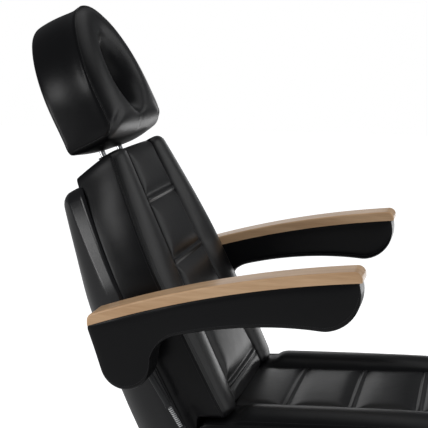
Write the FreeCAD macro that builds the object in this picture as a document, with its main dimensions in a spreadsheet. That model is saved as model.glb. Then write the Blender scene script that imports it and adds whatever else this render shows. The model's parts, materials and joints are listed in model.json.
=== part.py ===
import FreeCAD, Part
import Sketcher
import math
import os
import re

# Electric beauty couch. +X points to the feet, +Y to the sitter's left, +Z up, millimetres and degrees.
# The origin is on the floor, below the middle of the couch. Its rest pose has the backrest raised,
# the leg section level with the seat and the lift at its lowest.
#
# Each section is drawn in a frame of its own, as if it lay flat: the seat's frame starts on the
# recline axis, the backrest's too and runs to -X, the leg section's starts on the knee axis, and an
# armrest's on its pivot. Each sub-part is then turned and moved to where its section stands at rest.

V = FreeCAD.Vector
Y_AXIS = V(0, 1, 0)

SIZES = {
    # Places of the sections
    "HingeHeight": 486.0, "HingeBack": 309.3, "SeatTilt": 2.44, "BackAngle": 64.23, "AxisDepth": 100.0,
    "KneeAhead": 618.0, "KneeHeight": 5.0, "Overrun": 2.0,
    # Tubes and boards that all sections share
    "TubeSize": 30.0, "TubeWall": 2.5, "BoardThick": 15.0, "HingeTubeRadius": 17.0, "HingePinRadius": 8.0,
    "RunningGap": 0.05, "SoftGap": 0.3,
    # Base
    "BaseLong": 760.0, "BaseWide": 480.0, "BaseTubeWide": 50.0, "BaseTubeHigh": 30.0, "BaseTubeWall": 3.0,
    "BaseCrossSpread": 320.0, "ColumnPlateLong": 380.0, "ColumnPlateWide": 260.0, "ColumnPlateThick": 8.0,
    "FootHigh": 20.0, "FootPadHigh": 12.0, "FootRadius": 30.0, "FootStudRadius": 8.0, "FootInset": 50.0,
    "CoverPastEnds": 45.0, "CoverPastSides": 30.0, "CoverWall": 3.0, "CoverGround": 6.0,
         "CoverSideHigh": 60.0,
    "CoverTaper": 12.0, "CoverTop": 128.0, "CoverTopLong": 400.0, "CoverTopWide": 290.0, "CoverCorner": 60.0,
    "CoverColumnGap": 3.0, "CoverBossRadius": 9.0,
    "InletWide": 48.0, "InletHigh": 27.0, "InletFlange": 3.0, "InletDepth": 26.0, "InletMiddle": 36.0,
    "InletMouthWide": 26.0, "InletMouthHigh": 18.0, "InletMouthDeep": 18.0, "InletPinLong": 14.0,
    "InletPinRadius": 2.0, "InletPinSpread": 7.0, "InletPinRise": 3.0,
    # Lifting column
    "ColumnAhead": 160.0, "ColumnLong": 220.0, "ColumnWide": 150.0, "ColumnWall": 5.0, "ColumnGap": 4.0,
    "ColumnHigh": 300.0, "StageRise": 8.0, "GlideHigh": 45.0, "GlideDrop": 5.0, "GlideGap": 0.15,
    "HeadPlateLong": 260.0, "HeadPlateWide": 180.0, "HeadPlateThick": 10.0, "SaddleThick": 8.0,
    "SaddleSpread": 146.0, "SaddleRear": 70.0, "SaddleFront": 262.0,
    "LiftRodRadius": 15.0, "LiftTubeRadius": 22.0, "LiftTubeTop": 372.0, "LiftGearLong": 140.0,
    "LiftGearWide": 80.0, "LiftGearHigh": 60.0, "LiftGearShift": 15.0, "LiftRodFoot": 4.0,
    # Seat section
    "SeatFront": 605.0, "SeatNose": 5.0, "SeatHalf": 285.0, "SeatPanelHalf": 155.0, "SeatFoam": 65.0,
    "BolsterRise": 15.0, "SideBulge": 6.0, "PanelCrown": 2.0, "SeamDrop": 6.0, "SideTuck": 12.0,
    "EndDrop": 16.0, "EndRun": 22.0, "ChannelRadius": 4.5, "ChannelPair": 15.0, "ChannelRise": 1.0,
    "SeatChannelRear": 166.5, "SeatChannelPitch": 152.0,
    "SeatBoardRear": 8.0, "SeatBoardInset": 20.0, "SeatTubeInner": 240.0, "SeatTubeTail": 25.0,
    "SeatTubeFront": 600.0, "CrossRear": 95.0, "CrossMid": 225.0, "CrossFront": 480.0,
    "KneeLugThick": 8.0, "KneeLugRear": 560.0, "KneeLugFront": 634.0,
    "BracketThick": 6.0, "BracketGap": 0.5,
    # Backrest section
    "BackTop": 720.0, "BackHalf": 286.0, "BackFoam": 100.0, "BackBolsterRise": 9.0, "BackPanelLow": 155.0,
    "BackPanelHigh": 101.0, "BackLow": 40.0, "CreaseGap": 5.0, "BackChannelLow": 115.0,
    "BackChannelMid": 428.0, "BackChannelHigh": 585.0,
    "BackTubeInner": 205.0, "BackTubeTop": 560.0, "BackCrossMid": 300.0, "HingeBlockBack": 40.0,
    "HingeBlockFront": 12.0, "BackBoardLow": 45.0, "BackBoardTop": 660.0, "BackBoardInset": 25.0,
    "ShellTop": 678.0, "ShellLow": 62.0, "ShellInset": 8.0, "ShellWall": 3.5, "ShellSideDeep": 36.0,
    "ShellShoulder": 75.0, "ShellDeepTop": 72.0, "ShellDeepLow": 138.0, "ShellLift": 1.0,
    "LeverReach": 90.0, "LeverPinRadius": 6.0, "LeverSlack": 2.5, "LeverHalf": 20.0, "LeverThick": 6.0,
    "EyeWide": 24.0, "EyeHigh": 24.0, "EyeGap": 0.5,
    # Actuators
    "ActuatorSide": 125.0, "RodRadius": 11.0, "RodGap": 0.3, "RodLong": 205.0, "BarrelRadius": 24.0,
    "BarrelStart": 96.0, "BarrelLong": 250.0, "GearLong": 70.0, "GearHigh": 64.0, "GearInner": 34.0,
    "MotorRadius": 27.0, "MotorLong": 130.0, "MotorSide": 56.0, "ClevisLong": 42.0, "ClevisEnd": 12.0,
    "LegActuatorDepth": 65.0, "LegBarrelFront": 530.0, "LegBarrelLong": 220.0, "LegRodLong": 200.0,
    "BoxRear": 270.0, "BoxLong": 195.0, "BoxHalf": 75.0, "BoxHigh": 48.0, "BoxWall": 2.5,
    # Headrest
    "HeadLow": 748.0, "HeadHigh": 324.0, "HeadHalf": 202.0, "HeadFoam": 118.0, "HeadBulge": 27.0,
    "HeadSlant": 15.0, "HeadCorner": 28.0, "HeadSideHigh": 94.0, "HeadShoulderHalf": 124.0,
         "HeadShoulderHigh": 279.0,
    "HeadRearInset": 10.0, "HeadFrontInset": 14.0, "HeadFaceInset": 46.0, "HeadRound": 14.0,
    "FaceHoleHigh": 137.0, "FaceHoleHalf": 56.0, "FaceHoleLong": 92.0, "FaceHoleTaper": 10.0,
    "HeadBoardThick": 12.0, "HeadBoardInset": 24.0,
    "PostRadius": 7.0, "PostSpread": 130.0, "PostHeight": 29.0, "PostGrip": 85.0, "PostTop": 850.0,
    "GuideRadius": 10.5, "GuideFoot": 500.0, "GuideFlangeRadius": 15.0, "GuideFlangeThick": 3.0,
    "GuideGap": 0.08, "PostPlateLong": 60.0, "PostPlateThick": 6.0, "PostPlateHalf": 85.0,
    "PostBlockHalf": 8.0, "HeadTravel": 120.0,
    # Armrests
    "ArmReach": 510.0, "ArmUp": 284.7, "ArmBehind": 30.0, "ArmInner": 332.5, "ArmWide": 75.0,
         "SpindleRadius": 10.0,
    "SpindleFlangeRadius": 14.0, "SpindleFlangeThick": 6.0, "SpindleEnd": 388.0, "HubRadius": 18.0,
    "HubEnd": 385.0, "CarrierInner": 317.0, "CarrierThick": 6.0, "LinkArm": 40.0, "LinkTurn": 90.0,
    "LinkPinRadius": 5.0, "LinkMiddle": 309.0, "LinkEyeWide": 12.0, "LinkEyeRadius": 11.0,
    "LinkTubeRadius": 7.0, "LinkStudRadius": 4.5, "LinkNutRadius": 9.0, "LinkNutHigh": 8.0,
    "LinkSocketLong": 66.0, "LinkStudShown": 52.0, "LinkPlateInner": 296.0,
    "TabThick": 6.0, "TabRear": 20.0, "TabFront": 52.0, "TabHalf": 12.0, "TabPinAhead": 42.0,
    "TabPinRadius": 5.0, "TabGap": 0.3, "CapThick": 24.0, "CapRound": 4.5, "CapEndRound": 17.0,
    "ArmPadRound": 13.0, "WebThick": 6.0, "WebDeep": 44.0, "FlangeThick": 5.0, "FlangeWide": 50.0,
    "ScrewRadius": 2.2, "ScrewHeadRadius": 4.8, "ScrewHeadHigh": 3.0, "ScrewDepth": 14.0,
    "ScrewSide": 15.0,
    # Leg section and footrest
    "LegRear": 7.0, "LegLong": 338.0, "LegTubeInner": 200.0, "LegTubeFront": 325.0,
    "LegCrossAt": 180.0, "LegLeverReach": 70.0, "LegLeverPin": 5.0, "LegSwing": 75.0, "LegBoardRear": 24.0,
    "LegChannelAt": 158.0, "FootGap": 6.0, "FootLong": 130.0, "SlideGap": 0.1, "SlideWall": 2.0,
    "SlideGrip": 187.0, "FootTravel": 80.0, "FootPlateThick": 4.0,
    # Handset
    "HandsetAhead": 420.0, "HandsetHalf": 26.0, "HandsetThick": 24.0, "HandsetHigh": 150.0,
    "HandsetDrop": 32.0, "HandsetCorner": 8.0, "HolderThick": 8.0, "HolderHigh": 60.0, "HolderArm": 5.7,
    "HolderArmLong": 18.0, "ButtonRadius": 7.0, "ButtonLong": 5.5, "ButtonProud": 2.5, "ButtonTravel": 1.2,
    "ButtonGap": 0.2, "ButtonSpread": 24.0, "ButtonPitch": 30.0, "ButtonTopDrop": 32.0,
}

# Half width of the backrest, as shares of its largest, at shares of the way from its low end to its top
BACK_OUTLINE_SHARES = ((0.0, 0.93), (0.14, 0.972), (0.385, 1.0), (0.593, 1.0), (0.729, 0.937),
                       (0.874, 0.839), (0.963, 0.766), (1.0, 0.72))
# Height of the seat's bolsters, as shares of their full rise, along the seat, as shares of its length
SEAT_BOLSTER_SHARES = ((0.0, 0.0), (0.037, 0.1), (0.15, 0.3), (0.3, 1.0), (0.964, 1.0), (1.0, 0.5))
LEG_BOLSTER_SHARES = ((0.0, 0.5), (0.06, 1.0), (0.94, 1.0), (1.0, 0.5))
# The straight line that stands for a turning pin's tangent over the travel, chosen to halve the error
BACK_SLOPE_SHARE = 1.10
LEG_SLOPE_SHARE = 1.131

# An armrest seen from its side: forward of and above its pivot, as shares of its reach
CAP_REAR_SHARES = (-0.1294, 0.1914)
CAP_MIDDLE_SHARES = (0.4480, 0.3523)
CAP_FRONT_SHARES = (1.0186, 0.4366)
PAD_NOSE_SHARES = (1.0137, 0.3906)
PAD_CHIN_BOW_SHARES = (0.9765, 0.2788)
PAD_CHIN_SHARES = (0.8667, 0.2235)
PAD_BELLY_BOW_SHARES = (0.5578, 0.2186)
PAD_BELLY_SHARES = (0.2539, 0.1657)
PAD_THROAT_BOW_SHARES = (0.1745, 0.1176)
PAD_THROAT_SHARES = (0.1382, 0.0435)
PAD_LOBE_BOW_SHARES = (0.0284, -0.0820)
PAD_LOBE_SHARES = (-0.0873, 0.0043)
PAD_HEEL_SHARES = (-0.1422, 0.1710)
WEB_REAR_SHARE = -0.085
WEB_TURN_SHARE = 0.13
WEB_FRONT_SHARE = 0.94
SCREW_SHARES = (0.06, 0.34, 0.62, 0.88)

doc = FreeCAD.newDocument("couch")
sheet = doc.addObject("Spreadsheet::Sheet", "Sizes")
for row, (name, number) in enumerate(SIZES.items(), 1):
    sheet.set(f"A{row}", name)
    sheet.set(f"B{row}", str(number))
    sheet.setAlias(f"B{row}", name)
doc.recompute()


class Read:
    """Gives a size of the sheet by its name."""

    def __getattr__(self, name):
        return float(sheet.get(name))


size = Read()
WORD = re.compile(r"\b[A-Z][A-Za-z]*\b")
sub_parts = []


def bind(piece, prop, formula):
    """Ties a property to a formula in the names of the sheet."""
    piece.setExpression(prop, WORD.sub(r"Sizes.\g<0>", formula))


def node(piece, label, place=None):
    """Names a finished sub-part and puts it where its section stands."""
    piece.Label = label
    if place is not None:
        piece.Placement = place
    sub_parts.append(piece)
    return piece


def block(name, x, y, z):
    """A box between two formulas along each axis."""
    piece = doc.addObject("Part::Box", name)
    for prop, axis, (low, high) in (("Length", "x", x), ("Width", "y", y), ("Height", "z", z)):
        bind(piece, prop, f"({high}) - ({low})")
        bind(piece, f"Placement.Base.{axis}", low)
    return piece


def side_block(name, side, x, inner, outer, z):
    """A box on one side of the couch, between two distances from its middle plane."""
    across = (inner, outer) if side > 0 else (f"-({outer})", f"-({inner})")
    return block(name, x, across, z)


TURNS = {"x": FreeCAD.Rotation(Y_AXIS, 90), "y": FreeCAD.Rotation(V(1, 0, 0), -90), "z": FreeCAD.Rotation()}


def rod(name, axis, start, end, radius, first="0", second="0"):
    """A cylinder along an axis; first and second place it along the two other axes, in their order."""
    piece = doc.addObject("Part::Cylinder", name)
    piece.Placement = FreeCAD.Placement(V(), TURNS[axis])
    bind(piece, "Radius", radius)
    bind(piece, "Height", f"({end}) - ({start})")
    others = [a for a in "xyz" if a != axis]
    for prop, text in zip([axis] + others, (start, first, second)):
        bind(piece, f"Placement.Base.{prop}", text)
    return piece


def side_rod(name, side, inner, outer, radius, x="0", z="0"):
    """A cylinder across one side of the couch."""
    start, end = (inner, outer) if side > 0 else (f"-({outer})", f"-({inner})")
    return rod(name, "y", start, end, radius, x, z)


def fuse(name, pieces):
    piece = doc.addObject("Part::MultiFuse", name)
    piece.Shapes = pieces
    piece.Refine = True
    return piece


def cut(name, base, tools):
    piece = doc.addObject("Part::Cut", name)
    piece.Base = base
    piece.Tool = tools[0] if len(tools) == 1 else fuse(name + "Tools", tools)
    return piece


def group(name, pieces):
    """Separate solids of one kind in one node."""
    piece = doc.addObject("Part::Compound", name)
    piece.Links = pieces
    return piece


def solid(name, shape):
    """A form made with Part's own functions."""
    piece = doc.addObject("Part::Feature", name)
    piece.Shape = shape
    return piece


PLANES = {"xy": "XY_Plane", "xz": "XZ_Plane"}


def plate(name, plane, corners, thickness, shift=None):
    """A padded outline: a sketch whose corners are tied to formulas, and the pad's thickness."""
    body = doc.addObject("PartDesign::Body", name)
    sketch = body.newObject("Sketcher::SketchObject", name + "Sketch")
    origin = next(f for f in body.Origin.OriginFeatures if f.Role == PLANES[plane])
    sketch.AttachmentSupport = [(origin, "")]
    sketch.MapMode = "FlatFace"
    count = len(corners)
    seeds = [V(math.cos(2 * math.pi * i / count), math.sin(2 * math.pi * i / count), 0) for i in range(count)]
    for i in range(count):
        sketch.addGeometry(Part.LineSegment(seeds[i], seeds[(i + 1) % count]), False)
    for i in range(count):
        sketch.addConstraint(Sketcher.Constraint("Coincident", i, 2, (i + 1) % count, 1))
    for i, (across, up) in enumerate(corners):
        for kind, formula, seed in (("DistanceX", across, seeds[i].x), ("DistanceY", up, seeds[i].y)):
            index = sketch.addConstraint(Sketcher.Constraint(kind, -1, 1, i, 1, seed))
            bind(sketch, f"Constraints[{index}]", formula)
    pad = body.newObject("PartDesign::Pad", name + "Pad")
    pad.Profile = sketch
    bind(pad, "Length", thickness)
    sketch.Visibility = False
    if shift is not None:
        for axis, formula in shift.items():
            bind(body, f"Placement.Base.{axis}", formula)
    return body


def closed(edges):
    """A closed wire through edges that follow each other."""
    return Part.Wire([edge.toShape() for edge in edges])


def loft(wires):
    """A solid whose sides are ruled from each wire to the next."""
    return Part.makeLoft(wires, True, True)


def rounded_rectangle(length, width, corner, height):
    """A rectangle with round corners in a level plane."""
    x, y = length / 2, width / 2
    bow = corner * (1 - math.sqrt(0.5))
    edges = []
    for sx, sy, first in ((1, 1, "y"), (-1, 1, "x"), (-1, -1, "y"), (1, -1, "x")):
        a = V(sx * x, sy * (y - corner), height)
        b = V(sx * (x - corner), sy * y, height)
        middle = V(sx * (x - bow), sy * (y - bow), height)
        edges.append(Part.Arc(a, middle, b) if first == "y" else Part.Arc(b, middle, a))
    ring = []
    for i, edge in enumerate(edges):
        ring.append(edge)
        ring.append(Part.LineSegment(edge.EndPoint, edges[(i + 1) % len(edges)].StartPoint))
    return closed(ring)


# Where the sections stand
column_x = size.ColumnAhead - size.HingeBack
hinge = V(-size.HingeBack, 0, size.HingeHeight)
seat_place = FreeCAD.Placement(hinge, FreeCAD.Rotation(Y_AXIS, -size.SeatTilt))
back_place = FreeCAD.Placement(hinge, FreeCAD.Rotation(Y_AXIS, size.BackAngle))
knee = seat_place.multVec(V(size.KneeAhead, 0, size.KneeHeight))
leg_place = FreeCAD.Placement(knee, FreeCAD.Rotation(Y_AXIS, -size.SeatTilt))
arm_pivot = back_place.multVec(V(-size.ArmUp, 0, -size.ArmBehind))
arm_place = FreeCAD.Placement(arm_pivot, FreeCAD.Rotation())
base_place = FreeCAD.Placement(V(column_x, 0, 0), FreeCAD.Rotation())
SIDES = ((1, "left"), (-1, "right"))


# Base: welded tubes on four levelling feet, under a moulded cover

BASE_TOP = "FootHigh + BaseTubeHigh"
COLUMN_FOOT = BASE_TOP + " + ColumnPlateThick"


def base_frame():
    outer, inner = [], []
    for side, word in SIDES:
        ends = ("-BaseLong / 2", "BaseLong / 2")
        rise = ("FootHigh", BASE_TOP)
        outer.append(side_block(f"BaseRail{word}", side, ends, "BaseWide / 2 - BaseTubeWide", "BaseWide / 2",
                                rise))
        inner.append(side_block(f"BaseRailBore{word}", side,
                                ("-BaseLong / 2 - Overrun", "BaseLong / 2 + Overrun"),
                                "BaseWide / 2 - BaseTubeWide + BaseTubeWall", "BaseWide / 2 - BaseTubeWall",
                                ("FootHigh + BaseTubeWall", BASE_TOP + " - BaseTubeWall")))
    for sign, word in ((1, "Front"), (-1, "Rear")):
        middle = f"{sign} * BaseCrossSpread / 2"
        outer.append(block(f"BaseCross{word}",
                           (f"{middle} - BaseTubeWide / 2", f"{middle} + BaseTubeWide / 2"),
                           ("-BaseWide / 2 + BaseTubeWide", "BaseWide / 2 - BaseTubeWide"),
                           ("FootHigh", BASE_TOP)))
        inner.append(block(f"BaseCrossBore{word}",
                           (f"{middle} - BaseTubeWide / 2 + BaseTubeWall",
                            f"{middle} + BaseTubeWide / 2 - BaseTubeWall"),
                           ("-BaseWide / 2 + BaseTubeWide - BaseTubeWall - Overrun",
                            "BaseWide / 2 - BaseTubeWide + BaseTubeWall + Overrun"),
                           ("FootHigh + BaseTubeWall", BASE_TOP + " - BaseTubeWall")))
    outer.append(block("ColumnPlate", ("-ColumnPlateLong / 2", "ColumnPlateLong / 2"),
                       ("-ColumnPlateWide / 2", "ColumnPlateWide / 2"), (BASE_TOP, COLUMN_FOOT)))
    node(cut("BaseFrame", fuse("BaseTubes", outer), inner), "base_frame", base_place)


def levelling_feet():
    feet = []
    for sx in (1, -1):
        for sy in (1, -1):
            word = f"{'F' if sx > 0 else 'R'}{'L' if sy > 0 else 'R'}"
            x = f"{sx} * (BaseLong / 2 - FootInset)"
            y = f"{sy} * (BaseWide / 2 - BaseTubeWide / 2)"
            pad = rod("FootPad" + word, "z", "0", "FootPadHigh", "FootRadius", x, y)
            stud = rod("FootStud" + word, "z", "FootPadHigh", "FootHigh", "FootStudRadius", x, y)
            feet.append(fuse("Foot" + word, [pad, stud]))
    node(group("LevellingFeet", feet), "levelling_feet", base_place)


COVER_LONG = size.BaseLong + 2 * size.CoverPastEnds
COVER_WIDE = size.BaseWide + 2 * size.CoverPastSides


def hood(inset, low, top):
    """The cover's outer form, or with an inset its inner one."""
    corner = size.CoverCorner - inset
    wires = [rounded_rectangle(COVER_LONG - 2 * inset, COVER_WIDE - 2 * inset, corner, low),
             rounded_rectangle(COVER_LONG - size.CoverTaper - 2 * inset,
                               COVER_WIDE - size.CoverTaper - 2 * inset, corner, size.CoverSideHigh - inset),
             rounded_rectangle(size.CoverTopLong - 2 * inset, size.CoverTopWide - 2 * inset, corner, top)]
    return loft(wires)


def base_cover():
    """The moulded hood, which stands on the base rails with four bosses."""
    outer = hood(0, size.CoverGround, size.CoverTop)
    shape = outer.cut(hood(size.CoverWall, size.CoverGround - size.Overrun, size.CoverTop - size.CoverWall))
    for sx in (1, -1):
        for sy in (1, -1):
            foot = V(sx * (size.BaseLong / 2 - size.FootInset),
                     sy * (size.BaseWide / 2 - size.BaseTubeWide / 2),
                     size.FootHigh + size.BaseTubeHigh)
            shape = shape.fuse(Part.makeCylinder(size.CoverBossRadius, size.CoverTop, foot).common(outer))
    shape = shape.removeSplitter()
    gap = size.CoverColumnGap
    hole = Part.makeBox(size.ColumnLong + 2 * gap, size.ColumnWide + 2 * gap, size.CoverTop,
                        V(-size.ColumnLong / 2 - gap, -size.ColumnWide / 2 - gap, size.CoverSideHigh))
    mouth = Part.makeBox(size.CoverTaper + size.CoverWall + 2 * size.Overrun,
                         size.InletWide - 2 * size.CoverWall,
                         size.InletHigh - 2 * size.CoverWall,
                         V(-COVER_LONG / 2 - size.Overrun, -size.InletWide / 2 + size.CoverWall,
                           size.InletMiddle - size.InletHigh / 2 + size.CoverWall))
    node(solid("BaseCover", shape.cut(hole).cut(mouth)), "base_cover", base_place)


def mains_inlet():
    """An appliance inlet in the rear of the cover, for a loose mains lead."""
    middle = size.InletMiddle
    body_wide = size.InletWide - 2 * size.CoverWall - 2 * size.SoftGap
    body_high = size.InletHigh - 2 * size.CoverWall - 2 * size.SoftGap
    front = -COVER_LONG / 2 - size.InletFlange

    def slab(x_start, x_end, wide, high):
        return Part.makeBox(x_end - x_start, wide, high, V(x_start, -wide / 2, middle - high / 2))
    shape = slab(front, front + size.InletFlange + size.CoverTaper, size.InletWide, size.InletHigh)
    shape = shape.cut(hood(0, size.CoverGround, size.CoverTop))
    shape = shape.fuse(slab(-COVER_LONG / 2, front + size.InletDepth, body_wide, body_high))
    shape = shape.cut(slab(front - size.Overrun, front + size.InletMouthDeep, size.InletMouthWide,
                           size.InletMouthHigh))
    pins = ((0, size.InletPinRise), (size.InletPinSpread, -size.InletPinRise),
            (-size.InletPinSpread, -size.InletPinRise))
    for y, z in pins:
        start = front + size.InletMouthDeep - size.InletPinLong
        pin = Part.makeCylinder(size.InletPinRadius, size.InletPinLong, V(start, y, middle + z), V(1, 0, 0))
        shape = shape.fuse(pin)
    node(solid("MainsInlet", shape.removeSplitter()), "mains_inlet", base_place)


# Lifting column: three nested stages with glide rings, and its spindle drive

def stage_box(name, stage, grow, bottom, top):
    """A box of a stage's outer size, grown or shrunk on each side by a formula."""
    shrink = f"{stage} * (ColumnWall + ColumnGap) - ({grow})"
    return block(name, (f"-ColumnLong / 2 + {shrink}", f"ColumnLong / 2 - ({shrink})"),
                 (f"-ColumnWide / 2 + {shrink}", f"ColumnWide / 2 - ({shrink})"), (bottom, top))


STAGE_FOOT = [f"{COLUMN_FOOT} + {stage} * StageRise" for stage in range(3)]
STAGE_TOP = [f"{COLUMN_FOOT} + {stage} * StageRise + ColumnHigh" for stage in range(2)]
STAGE_TOP.append(f"{COLUMN_FOOT} + 3 * StageRise + ColumnHigh")
HEAD_FOOT = STAGE_TOP[2]


def column():
    for stage, label in enumerate(("column_outer", "column_middle", "column_inner")):
        outer = stage_box(f"Stage{stage}Outer", stage, "0", STAGE_FOOT[stage], STAGE_TOP[stage])
        inner = stage_box(f"Stage{stage}Inner", stage, "-ColumnWall", f"{STAGE_FOOT[stage]} - Overrun",
                          f"{STAGE_TOP[stage]} + Overrun")
        node(cut(f"Stage{stage}", outer, [inner]), label, base_place)
    for stage, label in enumerate(("lower_glide_ring", "upper_glide_ring")):
        low = f"{STAGE_TOP[stage]} - GlideDrop - GlideHigh"
        high = f"{STAGE_TOP[stage]} - GlideDrop"
        outer = stage_box(f"Glide{stage}Outer", stage, "-ColumnWall", low, high)
        inner = stage_box(f"Glide{stage}Inner", stage + 1, "GlideGap", f"{low} - Overrun",
                          f"{high} + Overrun")
        node(cut(f"Glide{stage}", outer, [inner]), label, base_place)


def column_head():
    """The plate on the column's top and the two saddles that carry the tilted seat frame."""
    top = "HeadPlateThick + " + HEAD_FOOT
    head = block("HeadPlate", ("-HeadPlateLong / 2", "HeadPlateLong / 2"),
                 ("-HeadPlateWide / 2", "HeadPlateWide / 2"),
                 (HEAD_FOOT, top))
    pieces = [head]

    def frame_bottom(ahead):
        """Distance ahead of the column's middle, and height, of a point of the seat frame's underside."""
        drop = "(AxisDepth - SeatFoam - BoardThick - TubeSize)"
        across = f"{ahead} * cos(SeatTilt * 1deg) - {drop} * sin(SeatTilt * 1deg) - ColumnAhead"
        up = f"HingeHeight + {ahead} * sin(SeatTilt * 1deg) + {drop} * cos(SeatTilt * 1deg)"
        return across, up
    rear, front = frame_bottom("SaddleRear"), frame_bottom("SaddleFront")
    for side, word in SIDES:
        corners = [("-HeadPlateLong / 2", top), ("HeadPlateLong / 2", top), front, rear]
        face = "SaddleSpread / 2 + SaddleThick / 2" if side > 0 else "-SaddleSpread / 2 + SaddleThick / 2"
        pieces.append(plate(f"Saddle{word}", "xz", corners, "SaddleThick", {"y": face}))
    node(fuse("ColumnHead", pieces), "column_head", base_place)


def lift_drive():
    foot = COLUMN_FOOT
    gear = block("LiftGear", ("-LiftGearLong / 2 + LiftGearShift", "LiftGearLong / 2 + LiftGearShift"),
                 ("-LiftGearWide / 2", "LiftGearWide / 2"), (foot, f"{foot} + LiftGearHigh"))
    barrel = rod("LiftBarrel", "z", foot, "LiftTubeTop", "LiftTubeRadius")
    bore = rod("LiftBore", "z", f"{foot} + LiftRodFoot - RodGap", "LiftTubeTop + Overrun",
               "LiftRodRadius + RodGap")
    node(cut("LiftActuator", fuse("LiftHousing", [gear, barrel]), [bore]), "lift_actuator", base_place)
    spindle = rod("LiftRod", "z", f"{foot} + LiftRodFoot", HEAD_FOOT, "LiftRodRadius")
    bodies = node(spindle, "lift_rod")
    bind(bodies, "Placement.Base.x", "ColumnAhead - HingeBack")


# Seat section, drawn from the recline axis forward with its surface AxisDepth above the axis

FRAME_TOP = "AxisDepth - SeatFoam - BoardThick"
FRAME_LOW = FRAME_TOP + " - TubeSize"
LINK_X = "LinkArm * cos((LinkTurn - SeatTilt) * 1deg)"
LINK_Z = "LinkArm * sin((LinkTurn - SeatTilt) * 1deg)"


def tube_pair(prefix, inner, x, z_low, z_high, bores, blocks):
    """A square tube on each side, open at both ends."""
    for side, word in SIDES:
        blocks.append(side_block(f"{prefix}{word}", side, x, inner, f"{inner} + TubeSize", (z_low, z_high)))
        bores.append(side_block(f"{prefix}Bore{word}", side, (f"{x[0]} - Overrun", f"{x[1]} + Overrun"),
                                f"{inner} + TubeWall", f"{inner} + TubeSize - TubeWall",
                                (f"{z_low} + TubeWall", f"{z_high} - TubeWall")))


def cross_tube(name, start, inner, z_low, z_high, bores, blocks):
    """A square tube between the two side tubes, its bore open into theirs."""
    blocks.append(block(name, (start, f"{start} + TubeSize"), (f"-{inner}", inner), (z_low, z_high)))
    bores.append(block(name + "Bore", (f"{start} + TubeWall", f"{start} + TubeSize - TubeWall"),
                       (f"-{inner} - TubeWall - Overrun", f"{inner} + TubeWall + Overrun"),
                       (f"{z_low} + TubeWall", f"{z_high} - TubeWall")))


def clevis_plates(prefix, middle, corners, hole_x, hole_z):
    """Two ears that hold a drive's rear eye between them."""
    pieces = []
    for sign, word in ((1, "Out"), (-1, "In")):
        near = f"{middle} + {sign} * (EyeWide / 2 + BracketGap + BracketThick / 2) + BracketThick / 2"
        pieces.append(plate(prefix + word, "xz", corners, "BracketThick", {"y": near}))
    hole = rod(prefix + "Hole", "y", f"{middle} - EyeWide - BracketThick - Overrun",
               f"{middle} + EyeWide + BracketThick + Overrun", "LeverPinRadius", hole_x, hole_z)
    return pieces, hole


BACK_CLEVIS_X = "BarrelStart + BarrelLong + GearLong + ClevisLong - ClevisEnd"
LEG_CLEVIS_X = "LegBarrelFront - LegBarrelLong - GearLong - ClevisLong + ClevisEnd"


def seat_frame():
    blocks, bores = [], []
    tube_pair("SeatTube", "SeatTubeInner", ("-SeatTubeTail", "SeatTubeFront"), FRAME_LOW, FRAME_TOP, bores,
              blocks)
    for word in ("CrossRear", "CrossMid", "CrossFront"):
        cross_tube("Seat" + word, word, "SeatTubeInner", FRAME_LOW, FRAME_TOP, bores, blocks)
    for side, word in SIDES:
        blocks.append(side_block(f"KneeLug{word}", side, ("KneeLugRear", "KneeLugFront"),
                                 "SeatTubeInner - KneeLugThick",
                                 "SeatTubeInner", (FRAME_LOW, FRAME_TOP)))
        bores.append(side_rod(f"HingeHole{word}", side, "SeatTubeInner - Overrun",
                              "SeatTubeInner + TubeSize + Overrun",
                              "HingePinRadius"))
        bores.append(side_rod(f"KneeHole{word}", side, "SeatTubeInner - KneeLugThick - Overrun",
                              "SeatTubeInner",
                              "HingePinRadius", "KneeAhead", "KneeHeight"))
        reach = (f"{LINK_X} - LinkEyeRadius - BracketThick / 2",
                 f"{LINK_X} + LinkEyeRadius + BracketThick / 2")
        blocks.append(side_block(f"LinkSpacer{word}", side, reach, "SeatTubeInner + TubeSize",
                                 "LinkPlateInner",
                                 (FRAME_LOW, FRAME_TOP)))
        blocks.append(side_block(f"LinkPlate{word}", side, reach, "LinkPlateInner",
                                 "LinkPlateInner + BracketThick",
                                 (FRAME_LOW, f"{LINK_Z} + LinkEyeRadius + BracketThick / 2")))
        blocks.append(side_rod(f"LinkStud{word}", side, "LinkPlateInner + BracketThick",
                               "LinkMiddle + LinkEyeWide / 2 + 2 * BracketGap", "LinkPinRadius", LINK_X,
                               LINK_Z))
    drop = "-LeverReach"
    rear_ears, rear_hole = clevis_plates(
        "BackEar", "ActuatorSide", [("CrossFront", FRAME_LOW), ("CrossFront + TubeSize", FRAME_LOW),
                                    (f"{BACK_CLEVIS_X} + ClevisEnd", f"{drop} - ClevisEnd"),
                                    (f"{BACK_CLEVIS_X} - ClevisEnd", f"{drop} - ClevisEnd"),
                                    (f"{BACK_CLEVIS_X} - ClevisEnd", f"{drop} + ClevisEnd")],
        BACK_CLEVIS_X, drop)
    drop = "-LegActuatorDepth"
    leg_ears, leg_hole = clevis_plates(
        "LegEar", "-ActuatorSide", [("CrossMid", FRAME_LOW),
                                    (f"{LEG_CLEVIS_X} - ClevisEnd", f"{drop} + ClevisEnd"),
                                    (f"{LEG_CLEVIS_X} - ClevisEnd", f"{drop} - ClevisEnd"),
                                    (f"{LEG_CLEVIS_X} + ClevisEnd", f"{drop} - ClevisEnd"),
                                    ("CrossMid + TubeSize / 2", FRAME_LOW)],
        LEG_CLEVIS_X, drop)
    frame = fuse("SeatTubes", blocks + rear_ears + leg_ears)
    node(cut("SeatFrame", frame, bores + [rear_hole, leg_hole]), "seat_frame", seat_place)


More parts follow.
